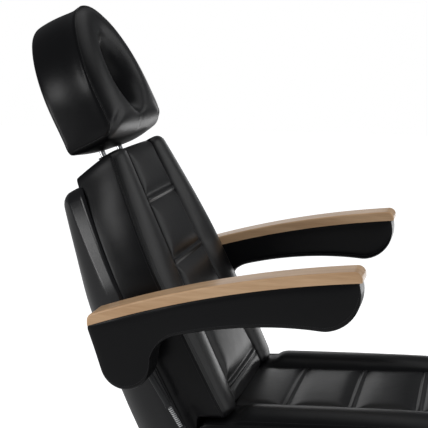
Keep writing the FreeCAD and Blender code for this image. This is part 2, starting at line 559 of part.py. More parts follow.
def pivot_pins():
    """The fixed steel pins of the recline axis, the knee and the two drives' rear eyes."""
    pins = []
    for side, word in SIDES:
        pins.append(side_rod(f"HingePin{word}", side, "SeatTubeInner - TubeSize", "SeatTubeInner + TubeSize",
                             "HingePinRadius"))
        pins.append(side_rod(f"KneePin{word}", side, "SeatTubeInner - KneeLugThick - TubeSize",
                             "SeatTubeInner - BracketGap",
                             "HingePinRadius", "KneeAhead", "KneeHeight"))
    half = "(EyeWide / 2 + BracketGap + BracketThick)"
    for name, side, x, z in (("BackClevisPin", 1, BACK_CLEVIS_X, "-LeverReach"),
                             ("LegClevisPin", -1, LEG_CLEVIS_X, "-LegActuatorDepth")):
        pins.append(side_rod(name, side, f"ActuatorSide - {half}", f"ActuatorSide + {half}",
                             "LeverPinRadius", x, z))
    node(group("PivotPins", pins), "pivot_pins", seat_place)


def cushion_section(x, half, low, top, seam_drop, tuck, bulge, panel, rise, crown):
    """Closed outline across a cushion: flat below, bowed sides, a bolster each side and a panel between."""
    seam = top - seam_drop
    edges = []
    corner, side_top, valley = half - tuck, V(x, half, seam), V(x, panel, top - crown)
    edges.append(Part.LineSegment(V(x, -corner, low), V(x, corner, low)))
    edges.append(Part.Arc(V(x, corner, low), V(x, half + bulge, (low + seam) / 2), side_top))
    edges.append(Part.Arc(side_top, V(x, (half + panel) / 2, top + rise), valley))
    edges.append(Part.Arc(valley, V(x, 0, top + crown), V(x, -panel, top - crown)))
    edges.append(Part.Arc(V(x, -panel, top - crown), V(x, -(half + panel) / 2, top + rise),
                          V(x, -half, seam)))
    edges.append(Part.Arc(V(x, -half, seam), V(x, -half - bulge, (low + seam) / 2), V(x, -corner, low)))
    return closed(edges)


def channels(shape, places, half, height):
    """Cuts a pair of sewn channels across the panel at each place."""
    for place in places:
        for side in (-1, 1):
            x = place + side * size.ChannelPair / 2
            groove = Part.makeCylinder(size.ChannelRadius, 2 * half, V(x, -half, height + size.ChannelRise),
                                       V(0, 1, 0))
            shape = shape.cut(groove)
    return shape


def flat_cushion(start, end, half, panel, low, top, bolster_shares):
    """A cushion of the seat or the legs: the same section along its length, drawn in at both ends."""
    wires = []
    length = end - start
    for share, rise in bolster_shares:
        last = share in (0.0, 1.0)
        drop = size.EndDrop if last else 0
        wires.append(cushion_section(start + share * length, half - drop / 2, low, top - drop, size.SeamDrop,
                                     size.SideTuck, size.SideBulge, panel, rise * size.BolsterRise,
                                     size.PanelCrown))
    return loft(wires)


def seat_soft_parts():
    low = size.AxisDepth - size.SeatFoam
    shape = flat_cushion(-size.SeatNose, size.SeatFront, size.SeatHalf, size.SeatPanelHalf, low,
                         size.AxisDepth,
                         SEAT_BOLSTER_SHARES)
    first = size.SeatChannelRear + size.ChannelPair / 2
    places = [first + size.SeatChannelPitch * i for i in range(3)]
    shape = channels(shape, places, size.SeatPanelHalf, size.AxisDepth)
    node(solid("SeatCushion", shape), "seat_cushion", seat_place)
    inset = "SeatHalf - SeatBoardInset"
    corners = [("SeatBoardRear", f"-({inset})"), ("SeatTubeFront", f"-({inset})"), ("SeatTubeFront", inset),
               ("SeatBoardRear", inset)]
    node(plate("SeatBoard", "xy", corners, "BoardThick"), "seat_board",
         seat_place.multiply(FreeCAD.Placement(V(0, 0, low - size.BoardThick), FreeCAD.Rotation())))


def drive(prefix, middle, sign, barrel_start, barrel_long, height):
    """A linear drive: barrel, gearbox, motor beside the barrel and rear eye; sign 1 points to the front."""
    far = f"({barrel_start} + {sign} * {barrel_long})"
    gear_far = f"({far} + {sign} * GearLong)"

    def along(a, b):
        return (a, b) if sign > 0 else (b, a)
    side = 1 if "-" not in middle else -1
    barrel = rod(prefix + "Barrel", "x", *along(barrel_start, far), "BarrelRadius", middle, height)
    gear = side_block(prefix + "Gear", side, along(far, gear_far), "ActuatorSide - GearInner",
                      "ActuatorSide + MotorSide + MotorRadius",
                      (f"{height} - GearHigh / 2", f"{height} + GearHigh / 2"))
    motor_end = f"({far} - {sign} * MotorLong)"
    motor = rod(prefix + "Motor", "x", *along(motor_end, far), "MotorRadius",
                f"{middle} + {side} * MotorSide", height)
    eye = side_block(prefix + "Eye", side, along(gear_far, f"({gear_far} + {sign} * ClevisLong)"),
                     "ActuatorSide - EyeWide / 2", "ActuatorSide + EyeWide / 2",
                     (f"{height} - ClevisEnd", f"{height} + ClevisEnd"))
    hole = side_rod(prefix + "EyeHole", side, "ActuatorSide - EyeWide", "ActuatorSide + EyeWide",
                    "LeverPinRadius",
                    f"{gear_far} + {sign} * (ClevisLong - ClevisEnd)", height)
    bore = rod(prefix + "Bore", "x", *along(f"({barrel_start} - {sign} * Overrun)", far),
               "RodRadius + RodGap", middle, height)
    return cut(prefix, fuse(prefix + "Housing", [barrel, gear, motor, eye]), [bore, hole])


def piston(prefix, middle, sign, end, long, pin_radius, height):
    """A drive's rod with its eye and cross pin at the end; sign 1 points to the front."""
    side = 1 if "-" not in middle else -1
    far = f"({end} + {sign} * {long})"
    shaft = rod(prefix + "Shaft", "x", *((end, far) if sign > 0 else (far, end)), "RodRadius", middle, height)
    eye = side_block(prefix + "Eye", side, (f"{end} - EyeHigh / 2", f"{end} + EyeHigh / 2"),
                     "ActuatorSide - EyeWide / 2",
                     "ActuatorSide + EyeWide / 2", (f"{height} - EyeHigh / 2", f"{height} + EyeHigh / 2"))
    half = "(EyeWide / 2 + EyeGap + LeverThick)"
    pin = side_rod(prefix + "Pin", side, f"ActuatorSide - {half}", f"ActuatorSide + {half}", pin_radius, end,
                   height)
    return fuse(prefix, [shaft, eye, pin])


BACK_ROD_END = f"-{BACK_SLOPE_SHARE} * LeverReach * (BackAngle + SeatTilt) / 2 * pi / 180"
LEG_ROD_END = f"KneeAhead + {LEG_SLOPE_SHARE} * LegLeverReach * LegSwing / 2 * pi / 180"


def seat_drives():
    node(drive("ReclineActuator", "ActuatorSide", 1, "BarrelStart", "BarrelLong", "-LeverReach"),
         "recline_actuator", seat_place)
    node(drive("LegActuator", "-ActuatorSide", -1, "LegBarrelFront", "LegBarrelLong", "-LegActuatorDepth"),
         "leg_actuator", seat_place)
    node(piston("ReclineRod", "ActuatorSide", 1, BACK_ROD_END, "RodLong", "LeverPinRadius", "-LeverReach"),
         "recline_rod", seat_place)
    node(piston("LegRod", "-ActuatorSide", -1, LEG_ROD_END, "LegRodLong", "LegLeverPin", "-LegActuatorDepth"),
         "leg_rod", seat_place)


def control_box():
    x = ("BoxRear", "BoxRear + BoxLong")
    outer = block("BoxOuter", x, ("-BoxHalf", "BoxHalf"), (f"{FRAME_TOP} - BoxHigh", FRAME_TOP))
    inner = block("BoxInner", ("BoxRear + BoxWall", "BoxRear + BoxLong - BoxWall"),
                  ("-BoxHalf + BoxWall", "BoxHalf - BoxWall"),
                  (f"{FRAME_TOP} - BoxHigh + BoxWall", f"{FRAME_TOP} + Overrun"))
    node(cut("ControlBox", outer, [inner]), "control_box", seat_place)


# Handset in its clip on the seat frame's left tube

HANDSET_BACK = "SeatTubeInner + TubeSize + HolderThick"
HANDSET_TOP = f"{FRAME_TOP} - HandsetDrop"
BUTTONS = (("lift", 0), ("back", 1), ("legs", 2))


def handset():
    x = ("HandsetAhead - HandsetHalf - SoftGap - HolderArm",
         "HandsetAhead + HandsetHalf + SoftGap + HolderArm")
    z = (f"{HANDSET_TOP} - HolderHigh", f"{FRAME_TOP}")
    pieces = [block("HolderPlate", x, ("SeatTubeInner + TubeSize", HANDSET_BACK), z)]
    arm_z = (f"{HANDSET_TOP} - HolderHigh", f"{HANDSET_TOP} - HolderHigh / 3")
    for sign, word in ((1, "Front"), (-1, "Rear")):
        near = f"HandsetAhead + {sign} * (HandsetHalf + SoftGap + HolderArm / 2)"
        pieces.append(block("HolderArm" + word, (f"{near} - HolderArm / 2", f"{near} + HolderArm / 2"),
                            (HANDSET_BACK, f"{HANDSET_BACK} + HolderArmLong"), arm_z))
    node(fuse("HandsetHolder", pieces), "handset_holder", seat_place)
    case = block("HandsetCase", ("HandsetAhead - HandsetHalf", "HandsetAhead + HandsetHalf"),
                 (HANDSET_BACK, f"{HANDSET_BACK} + HandsetThick"),
                 (f"{HANDSET_TOP} - HandsetHigh", HANDSET_TOP))
    rounded = doc.addObject("Part::Fillet", "HandsetRounded")
    rounded.Base = case
    doc.recompute()
    upright = [i + 1 for i, edge in enumerate(case.Shape.Edges)
               if abs(edge.tangentAt(edge.FirstParameter).y) > 0.5]
    rounded.Edges = [(i, size.HandsetCorner, size.HandsetCorner) for i in upright]
    face = f"{HANDSET_BACK} + HandsetThick"
    wells, caps = [], []
    for word, row in BUTTONS:
        for sign, way in ((-1, "up"), (1, "down")):
            x = f"HandsetAhead + {sign} * ButtonSpread / 2"
            z = f"{HANDSET_TOP} - ButtonTopDrop - {row} * ButtonPitch"
            wells.append(rod(f"Well{word}{way}", "y",
                             f"{face} + ButtonProud - ButtonLong - ButtonTravel - ButtonGap",
                             f"{face} + Overrun", "ButtonRadius + ButtonGap", x, z))
            caps.append((rod(f"Button{word}{way}", "y", f"{face} + ButtonProud - ButtonLong",
                             f"{face} + ButtonProud",
                             "ButtonRadius", x, z), f"button_{word}_{way}"))
    node(cut("Handset", rounded, wells), "handset_case", seat_place)
    for cap, label in caps:
        node(group(label.replace("_", " ").title().replace(" ", ""), [cap]), label, seat_place)


# Backrest section, drawn flat from the recline axis to -X

BACK_TUBE_HIGH = "-BoardThick"
BACK_TUBE_LOW = "-BoardThick - TubeSize"


def back_half(up, inset=0.0):
    """Half width of the backrest at a distance from the recline axis."""
    low, top = size.BackLow, size.BackTop
    share = min(max((up - low) / (top - low), 0.0), 1.0)
    for (a, wide_a), (b, wide_b) in zip(BACK_OUTLINE_SHARES, BACK_OUTLINE_SHARES[1:]):
        if share <= b:
            return size.BackHalf * (wide_a + (wide_b - wide_a) * (share - a) / (b - a)) - inset
    return size.BackHalf * BACK_OUTLINE_SHARES[-1][1] - inset


def back_panel(up):
    """Half width of the backrest's recessed panel at a distance from the recline axis."""
    share = (up - size.BackChannelLow) / (size.BackTop - size.BackChannelLow)
    return size.BackPanelLow + (size.BackPanelHigh - size.BackPanelLow) * share


def lever(name, reach, pin, half_swing, middle, side):
    """Two slotted plates that hang from a hinge tube; the drive's cross pin runs in their slots."""
    far = f"{reach} / cos({half_swing} * 1deg)"
    pieces = []
    for sign, word in ((1, "Out"), (-1, "In")):
        near = f"{middle} + {sign} * (EyeWide / 2 + EyeGap + LeverThick / 2)"
        y = (f"{near} - LeverThick / 2", f"{near} + LeverThick / 2")
        if side < 0:
            y = (f"-({y[1]})", f"-({y[0]})")
        body = block(name + word, ("-LeverHalf", "LeverHalf"), y, (f"-({far}) - LeverHalf", "0"))
        slot = block(name + word + "Slot", (f"-({pin} + LeverSlack)", f"{pin} + LeverSlack"),
                     (f"{y[0]} - Overrun", f"{y[1]} + Overrun"),
                     (f"-({far}) - {pin} - LeverSlack", f"-{reach} + {pin} + LeverSlack"))
        plate_cut = cut(name + word + "Cut", body, [slot])
        pieces.append(plate_cut)
    return pieces


def turned(piece, angle):
    """Turns a piece about the hinge axis of its section."""
    piece.Placement = FreeCAD.Placement(V(), FreeCAD.Rotation(Y_AXIS, angle))
    return piece


def back_frame():
    blocks, bores = [], []
    tube_pair("BackTube", "BackTubeInner", ("-BackTubeTop", "-HingeBlockBack / 2"), BACK_TUBE_LOW,
              BACK_TUBE_HIGH,
              bores, blocks)
    for name, start in (("BackCrossHigh", "-BackTubeTop"), ("BackCrossMid", "-BackCrossMid - TubeSize / 2")):
        cross_tube(name + "Tube", start, "BackTubeInner", BACK_TUBE_LOW, BACK_TUBE_HIGH, bores, blocks)
    for side, word in SIDES:
        blocks.append(side_block(f"HingeBlock{word}", side, ("-HingeBlockBack", "HingeBlockFront"),
                                 "BackTubeInner",
                                 "BackTubeInner + TubeSize", (BACK_TUBE_LOW, "0")))
    blocks.append(rod("HingeTube", "y", "-SeatTubeInner + 2 * BracketGap", "SeatTubeInner - 2 * BracketGap",
                      "HingeTubeRadius"))
    half_swing = (size.BackAngle + size.SeatTilt) / 2
    blocks += [turned(p, -half_swing) for p in lever("BackLever", "LeverReach", "LeverPinRadius",
                                                      "(BackAngle + SeatTilt) / 2", "ActuatorSide", 1)]
    bore = rod("HingeBore", "y", "-SeatTubeInner", "SeatTubeInner", "HingePinRadius + RunningGap")
    body = cut("BackTubesHollow", fuse("BackTubes", [b for b in blocks if "Hinge" not in b.Name]), bores)
    hinge_parts = fuse("BackHingeParts", [b for b in blocks if "Hinge" in b.Name])
    node(cut("BackFrame", fuse("BackWeld", [body, hinge_parts]), [bore]), "back_frame", back_place)


def back_board():
    inset = size.BackBoardInset
    ups = (size.BackBoardLow, size.BackCrossMid, size.BackTubeTop, size.BackBoardTop)
    right = [V(-up, -back_half(up, inset), 0) for up in ups]
    left = [V(-up, back_half(up, inset), 0) for up in reversed(ups)]
    ring = Part.makePolygon(right + left + right[:1])
    shape = Part.Face(ring).extrude(V(0, 0, size.BoardThick))
    board = solid("BackBoard", shape)
    node(board, "back_board",
         back_place.multiply(FreeCAD.Placement(V(0, 0, -size.BoardThick), FreeCAD.Rotation())))


def crease_wedge(length, width):
    """The space below the crease plane, which lies along the seat when the backrest is up."""
    slab = Part.makeBox(2 * length, width, length,
                        V(-length, -width / 2, -length + size.AxisDepth + size.CreaseGap))
    slab.Placement = FreeCAD.Placement(V(), FreeCAD.Rotation(Y_AXIS, -(size.BackAngle + size.SeatTilt)))
    return slab


def guide_space(grow, start, end):
    """Room for the headrest guides in the backrest's foam: a round bore with a slot to the board."""
    shapes = []
    for sign in (1, -1):
        y = sign * size.PostSpread / 2
        radius = size.GuideRadius + grow
        shapes.append(Part.makeCylinder(radius, end - start, V(-end, y, size.PostHeight), V(1, 0, 0)))
        shapes.append(Part.makeBox(end - start - size.EndRun, 2 * radius, size.PostHeight + size.Overrun,
                                   V(-end + size.EndRun, y - radius, -size.Overrun)))
    return shapes


def back_cushion():
    wires = []
    low, top = size.BackLow, size.BackTop
    for share, _wide in BACK_OUTLINE_SHARES:
        up = low + share * (top - low)
        drop = size.EndDrop if share == 1.0 else 0
        wires.append(cushion_section(-up, back_half(up), 0, size.BackFoam - drop, size.SeamDrop / 3,
                                     size.SideTuck,
                                     size.SideBulge, back_panel(up), size.BackBolsterRise, size.PanelCrown))
    shape = loft(wires)
    shape = shape.cut(crease_wedge(size.BackTop, 3 * size.BackHalf))
    places = [-size.BackChannelLow, -size.BackChannelMid, -size.BackChannelHigh]
    for place in places:
        shape = channels(shape, [place], back_panel(-place), size.BackFoam)
    for space in guide_space(size.SoftGap, size.GuideFoot, size.BackTop + size.Overrun):
        shape = shape.cut(space)
    node(solid("BackCushion", shape), "back_cushion", back_place)


def back_shell():
    """The moulded cover behind the backrest: a tray with round shoulders that deepens towards the seat."""
    def tray(inset, low, top, front):
        wires = []
        between = [size.BackLow + share * (size.BackTop - size.BackLow) for share,
                   _wide in BACK_OUTLINE_SHARES[1:6]]
        for up in [top, top - size.EndRun] + between[::-1] + [low]:
            share = (up - size.ShellLow) / (size.ShellTop - size.ShellLow)
            deep = size.ShellDeepLow + (size.ShellDeepTop - size.ShellDeepLow) * share - inset
            end_drop = size.EndRun if up == top else 0
            half = back_half(up, size.ShellInset) - inset - end_drop / 2
            flat = half - size.ShellShoulder + inset
            side = size.ShellSideDeep - end_drop / 2
            deep -= end_drop
            corners = [V(-up, half, front), V(-up, half - size.ShellInset / 2, -side), V(-up, flat, -deep),
                       V(-up, -flat, -deep), V(-up, -half + size.ShellInset / 2, -side), V(-up, -half, front)]
            bow = V(-up, (corners[1].y + corners[2].y) / 2 + size.ShellShoulder / 8,
                    (corners[1].z + corners[2].z) / 2 - size.ShellShoulder / 8)
            mirrored = V(bow.x, -bow.y, bow.z)
            wires.append(closed([Part.LineSegment(corners[0], corners[1]),
                                 Part.Arc(corners[1], bow, corners[2]),
                                 Part.LineSegment(corners[2], corners[3]),
                                 Part.Arc(corners[3], mirrored, corners[4]),
                                 Part.LineSegment(corners[4], corners[5]),
                                 Part.LineSegment(corners[5], corners[0])]))
        return loft(wires)
    wall = size.ShellWall
    outer = tray(0, size.ShellLow, size.ShellTop, -size.ShellLift)
    inner = tray(wall, size.ShellLow - size.Overrun, size.ShellTop - wall, size.Overrun)
    shape = outer.cut(inner)
    for side in (1, -1):
        hole = Part.makeCylinder(size.SpindleRadius + size.ShellWall, size.BackHalf,
                                 V(-size.ArmUp, 0, -size.ArmBehind), V(0, side, 0))
        shape = shape.cut(hole)
    node(solid("BackShell", shape), "back_shell", back_place)


def arm_spindles():
    spindles = []
    for side, word in SIDES:
        flange = side_rod(f"SpindleFlange{word}", side, "BackTubeInner + TubeSize",
                          "BackTubeInner + TubeSize + SpindleFlangeThick", "SpindleFlangeRadius", "-ArmUp",
                          "-ArmBehind")
        shaft = side_rod(f"SpindleShaft{word}", side, "BackTubeInner + TubeSize", "SpindleEnd",
                         "SpindleRadius", "-ArmUp",
                         "-ArmBehind")
        spindles.append(fuse(f"Spindle{word}", [flange, shaft]))
    node(group("ArmSpindles", spindles), "arm_spindles", back_place)


def headrest_guides():
    guides = []
    for side, word in SIDES:
        y = f"{side} * PostSpread / 2"
        tube = rod(f"GuideTube{word}", "x", "-BackTop - GuideFlangeThick", "-GuideFoot", "GuideRadius", y,
                   "PostHeight")
        flange = rod(f"GuideFlange{word}", "x", "-BackTop - GuideFlangeThick", "-BackTop",
                     "GuideFlangeRadius", y,
                     "PostHeight")
        feet = []
        for at, spot in (("GuideFoot + EndRun", "Low"), ("BackTop - 4 * EndRun", "High")):
            feet.append(block(f"GuideFoot{word}{spot}",
                              (f"-({at}) - PostBlockHalf", f"-({at}) + PostBlockHalf"),
                              (f"{y} - PostBlockHalf", f"{y} + PostBlockHalf"), ("0", "PostHeight")))
        bore = rod(f"GuideBore{word}", "x", "-BackTop - GuideFlangeThick - Overrun", "-GuideFoot + Overrun",
                   "PostRadius + GuideGap", y, "PostHeight")
        guides.append(cut(f"Guide{word}", fuse(f"GuideSolid{word}", [tube, flange] + feet), [bore]))
    node(group("HeadrestGuides", guides), "headrest_guides", back_place)


# Headrest, in the backrest's frame

def head_outline(inset, height):
    """The headrest seen from its front: square low end, lower behind, and sides turned in to a round top."""
    half = size.HeadHalf - inset
    low = size.HeadLow + inset - size.HeadSlant * max(0.0, 1 - height / size.HeadFoam)
    corner = size.HeadCorner
    bow = corner * (1 - math.sqrt(0.5))
    side_top = size.HeadLow + size.HeadSideHigh
    shoulder = V(-(size.HeadLow + size.HeadShoulderHigh - inset * 0.7), size.HeadShoulderHalf - inset * 0.7,
                 height)
    high = V(-(size.HeadLow + size.HeadHigh - inset), 0, height)
    side_mid = V(-(side_top + (size.HeadShoulderHigh - size.HeadSideHigh) * 0.56 - inset * 0.2),
                 half - (size.HeadHalf - size.HeadShoulderHalf) * 0.27, height)

    def other(p):
        return V(p.x, -p.y, p.z)
    a, b = V(-low, half - corner, height), V(-low - corner, half, height)
    middle = V(-low - bow, half - bow, height)
    c = V(-side_top, half, height)
    return closed([Part.LineSegment(other(a), a), Part.Arc(a, middle, b), Part.LineSegment(b, c),
                   Part.Arc(c, side_mid, shoulder), Part.Arc(shoulder, high, other(shoulder)),
                   Part.Arc(other(shoulder), other(side_mid), other(c)), Part.LineSegment(other(c), other(b)),
                   Part.Arc(other(b), other(middle), other(a))])


def face_hole(half, reach, height):
    """The long round outline of the breathing hole."""
    middle = -(size.HeadLow + size.FaceHoleHigh)
    straight = reach - half
    a, b = V(middle + straight, half, height), V(middle - straight, half, height)
    c, d = V(middle - straight, -half, height), V(middle + straight, -half, height)
    return closed([Part.LineSegment(a, b), Part.Arc(b, V(middle - reach, 0, height), c),
                   Part.LineSegment(c, d),
                   Part.Arc(d, V(middle + reach, 0, height), a)])


def head_hole_tool(low, high):
    taper = size.FaceHoleTaper
    return loft([face_hole(size.FaceHoleHalf - taper, size.FaceHoleLong - taper, low),
                 face_hole(size.FaceHoleHalf, size.FaceHoleLong, high)])


POST_FOOT = "-BackTop + HeadTravel + PostGrip"


def headrest():
    deep = size.HeadFoam
    levels = ((0, size.HeadRearInset), (size.HeadRound, 0), (deep, 0),
              (deep + size.HeadBulge * 0.65, size.HeadFrontInset),
              (deep + size.HeadBulge, size.HeadFaceInset))
    shape = loft([head_outline(inset, height) for height, inset in levels])
    shape = shape.cut(head_hole_tool(-size.Overrun, deep + size.HeadBulge + size.Overrun))
    inset, thick = size.HeadBoardInset, size.HeadBoardThick
    board = loft([head_outline(inset, 0), head_outline(inset, thick)])
    board = board.cut(head_hole_tool(-size.Overrun, deep))
    pocket = loft([head_outline(inset - size.SoftGap, -size.Overrun),
                   head_outline(inset - size.SoftGap, thick + size.SoftGap)])
    shape = shape.cut(pocket)
    gap = size.SoftGap
    high = size.PostTop + gap
    shape = shape.cut(Part.makeBox(size.PostPlateLong + 2 * gap, 2 * (size.PostPlateHalf + gap),
                                   size.PostPlateThick + 2 * gap,
                                   V(-high, -size.PostPlateHalf - gap, thick)))
    for sign in (1, -1):
        y = sign * size.PostSpread / 2
        shape = shape.cut(Part.makeCylinder(size.PostRadius + gap,
                                            size.PostTop - size.HeadLow + size.PostPlateLong,
                                            V(-high, y, size.PostHeight), V(1, 0, 0)))
        half = size.PostBlockHalf + gap
        shape = shape.cut(Part.makeBox(size.PostPlateLong + 2 * gap, 2 * half, size.PostHeight - thick,
                                       V(-high, y - half, thick)))
    node(solid("HeadrestCushion", shape), "headrest_cushion", back_place)
    node(solid("HeadrestBoard", board), "headrest_board", back_place)
    x = ("-PostTop", "-PostTop + PostPlateLong")
    plate_top = "HeadBoardThick + PostPlateThick"
    pieces = [block("PostPlate", x, ("-PostPlateHalf", "PostPlateHalf"), ("HeadBoardThick", plate_top))]
    for side, word in SIDES:
        y = f"{side} * PostSpread / 2"
        pieces.append(rod(f"Post{word}", "x", "-PostTop", POST_FOOT, "PostRadius", y, "PostHeight"))
        pieces.append(block(f"PostBlock{word}", x, (f"{y} - PostBlockHalf", f"{y} + PostBlockHalf"),
                            (plate_top, "PostHeight")))
    node(fuse("HeadrestPosts", pieces), "headrest_posts", back_place)


# Armrests, drawn from their pivot with the cap's arc above it

def arm_point(shares, rise=0.0):
    return V(shares[0] * size.ArmReach, 0, shares[1] * size.ArmReach + rise)


def cap_arc(rise):
    """The arc that the cap's underside follows, moved up."""
    return [arm_point(s, rise) for s in (CAP_REAR_SHARES, CAP_MIDDLE_SHARES, CAP_FRONT_SHARES)]


def arc_height(x, rise=0.0):
    """Height of the cap's underside above the pivot at a distance ahead of it."""
    circle = Part.Circle(*cap_arc(0))
    middle, radius = circle.Center, circle.Radius
    return middle.z + math.copysign(math.sqrt(radius ** 2 - (x - middle.x) ** 2), -middle.z) + rise


def along_arc(x, rise=0.0):
    return V(x, 0, arc_height(x, rise))


PAD_OUTLINE = (PAD_NOSE_SHARES, PAD_CHIN_BOW_SHARES, PAD_CHIN_SHARES, PAD_BELLY_BOW_SHARES, PAD_BELLY_SHARES,
               PAD_THROAT_BOW_SHARES, PAD_THROAT_SHARES, PAD_LOBE_BOW_SHARES, PAD_LOBE_SHARES,
               PAD_HEEL_SHARES)


def pad_outline(inset, y):
    """The padded body seen from its side, drawn in by an inset everywhere but along the cap."""
    rear = along_arc(CAP_REAR_SHARES[0] * size.ArmReach + inset)
    front = along_arc(CAP_FRONT_SHARES[0] * size.ArmReach - inset)
    middle = cap_arc(0)[1]
    ring = [arm_point(shares) for shares in PAD_OUTLINE]
    moved = []
    for i, point in enumerate(ring):
        before = ring[i - 1] if i else arm_point(CAP_FRONT_SHARES)
        after = ring[i + 1] if i + 1 < len(ring) else arm_point(CAP_REAR_SHARES)
        along = after - before
        along.normalize()
        moved.append(point + V(along.z, 0, -along.x) * inset)
    nose, chin_bow, chin, belly_bow, belly, throat_bow, throat, lobe_bow, lobe, heel = moved
    outline = closed([Part.Arc(rear, middle, front), Part.LineSegment(front, nose),
                      Part.Arc(nose, chin_bow, chin),
                      Part.Arc(chin, belly_bow, belly), Part.Arc(belly, throat_bow, throat),
                      Part.Arc(throat, lobe_bow, lobe), Part.LineSegment(lobe, heel),
                      Part.LineSegment(heel, rear)])
    outline.translate(V(0, y, 0))
    return outline


def core_web(grow):
    """The steel web inside an armrest, and grown by a gap the room that the pad leaves for it."""
    rear, turn, front = (s * size.ArmReach for s in (WEB_REAR_SHARE, WEB_TURN_SHARE, WEB_FRONT_SHARE))
    top = -size.FlangeThick + size.Overrun
    deep = -size.WebDeep - grow
    mid = (rear + front) / 2
    low_mid = (turn + front) / 2
    hub = size.HubRadius
    edges = [Part.Arc(along_arc(rear - grow, top), along_arc(mid, top), along_arc(front + grow, top)),
             Part.LineSegment(along_arc(front + grow, top), along_arc(front + grow, deep)),
             Part.Arc(along_arc(front + grow, deep), along_arc(low_mid, deep), along_arc(turn, deep)),
             Part.LineSegment(along_arc(turn, deep), V(hub * 0.8, 0, -hub * 0.6 - grow)),
             Part.LineSegment(V(hub * 0.8, 0, -hub * 0.6 - grow), V(-hub * 0.8 - grow, 0, -hub * 0.6 - grow)),
             Part.LineSegment(V(-hub * 0.8 - grow, 0, -hub * 0.6 - grow), along_arc(rear - grow, top))]
    thick = size.WebThick + 2 * grow
    face = Part.Face(closed(edges))
    web = face.extrude(V(0, thick, 0))
    web.translate(V(0, size.ArmInner + size.ArmWide / 2 - thick / 2, 0))
    return web


def core_flange(grow, top):
    """The steel strip under the cap."""
    rear, front = WEB_REAR_SHARE * size.ArmReach - grow, WEB_FRONT_SHARE * size.ArmReach + grow
    mid = (rear + front) / 2
    low = -size.FlangeThick - grow
    edges = [Part.Arc(along_arc(rear, top), along_arc(mid, top), along_arc(front, top)),
             Part.LineSegment(along_arc(front, top), along_arc(front, low)),
             Part.Arc(along_arc(front, low), along_arc(mid, low), along_arc(rear, low)),
             Part.LineSegment(along_arc(rear, low), along_arc(rear, top))]
    wide = size.FlangeWide + 2 * grow
    flange = Part.Face(closed(edges)).extrude(V(0, wide, 0))
    flange.translate(V(0, size.ArmInner + size.ArmWide / 2 - wide / 2, 0))
    return flange


def across(radius, start, end, x, z):
    """A cylinder across the armrest."""
    return Part.makeCylinder(radius, end - start, V(x, start, z), V(0, 1, 0))


def screw_solids(grow):
    """The wood screws that hold the cap, with their heads under the steel strip."""
    y = size.ArmInner + size.ArmWide / 2 - size.ScrewSide
    screws = []
    for share in SCREW_SHARES:
        x = share * size.ArmReach
        strip = arc_height(x)
        head_top = strip - size.FlangeThick - size.BracketGap
        shank = Part.makeCylinder(size.ScrewRadius, size.ScrewDepth + strip - head_top, V(x, y, head_top))
        head = Part.makeCylinder(size.ScrewHeadRadius + grow, size.ScrewHeadHigh + grow,
                                 V(x, y, head_top - size.ScrewHeadHigh - grow))
        screws.append(shank.fuse(head))
    return screws


def arm_shapes():
    """The shapes of a left armrest: padded body, wooden cap, steel core and the cap's screws."""
    far = size.ArmInner + size.ArmWide
    rear, middle, front = cap_arc(0)
    round_off, start = size.ArmPadRound, size.ArmInner
    steps = ((0, round_off * 0.7), (round_off * 0.3, round_off * 0.25), (round_off, 0))
    wires = [pad_outline(inset, start + y) for y, inset in steps]
    wires += [pad_outline(inset, far - y) for y, inset in reversed(steps)]
    pad = loft(wires)
    gap = size.SoftGap
    hub = across(size.HubRadius, size.CarrierInner + size.CarrierThick + size.BracketGap, size.HubEnd, 0, 0)
    bore = across(size.SpindleRadius + size.RunningGap, 0, size.HubEnd + size.Overrun, 0, 0)
    tab = Part.makeBox(size.TabFront, size.TabThick, 2 * size.TabHalf,
                       V(0, size.ArmInner - size.BracketGap - size.TabThick, -size.TabHalf))
    core = core_web(0).fuse([core_flange(0, 0), hub, tab]).cut(bore)
    for tool in (core_web(gap), core_flange(gap, gap),
                 across(size.HubRadius + gap, size.ArmInner - gap, size.SpindleEnd + 2 * gap, 0, 0)):
        pad = pad.cut(tool)
    screws = screw_solids(0)
    for screw in screw_solids(gap):
        pad = pad.cut(screw)
    for screw in screws:
        core = core.cut(screw)
    top = cap_arc(size.CapThick)
    cap_edges = closed([Part.Arc(rear, middle, front), Part.LineSegment(front, top[2]),
                        Part.Arc(top[2], top[1], top[0]),
                        Part.LineSegment(top[0], rear)])
    cap = Part.Face(cap_edges).extrude(V(0, size.ArmWide, 0))
    cap.translate(V(0, size.ArmInner, 0))
    centre, aside = size.ArmInner + size.ArmWide / 2, size.ArmWide / 3
    ends = [e for e in cap.Edges
            if abs(e.CenterOfMass.y - centre) < aside
            and any((e.CenterOfMass - V(0, e.CenterOfMass.y, 0) - corner).Length < size.Overrun
                    for corner in (top[0], top[2]))]
    cap = cap.makeFillet(size.CapEndRound, ends)
    rims = [e for e in cap.Edges
            if abs(e.CenterOfMass.y - centre) > aside
            and e.CenterOfMass.z > arc_height(e.CenterOfMass.x, size.Overrun)]
    cap = cap.makeFillet(size.CapRound, rims)
    for screw in screws:
        cap = cap.cut(screw)
    return pad, cap, core.removeSplitter(), Part.makeCompound(screws)


def mirrored(shape, side):
    return shape if side > 0 else shape.mirror(V(), Y_AXIS)


def armrests():
    pad, cap, core, screws = arm_shapes()
    for side, word in SIDES:
        for name, shape, label in (("ArmPad", pad, "arm_pad"), ("ArmCap", cap, "arm_cap"),
                                   ("ArmCore", core, "arm_core"),
                                   ("CapScrews", screws, "cap_screws")):
            node(solid(name + word.title(), mirrored(shape, side)), f"{label}_{word}", arm_place)


LINK_AHEAD = "LinkArm * cos(LinkTurn * 1deg)"
LINK_ABOVE = "LinkArm * sin(LinkTurn * 1deg)"


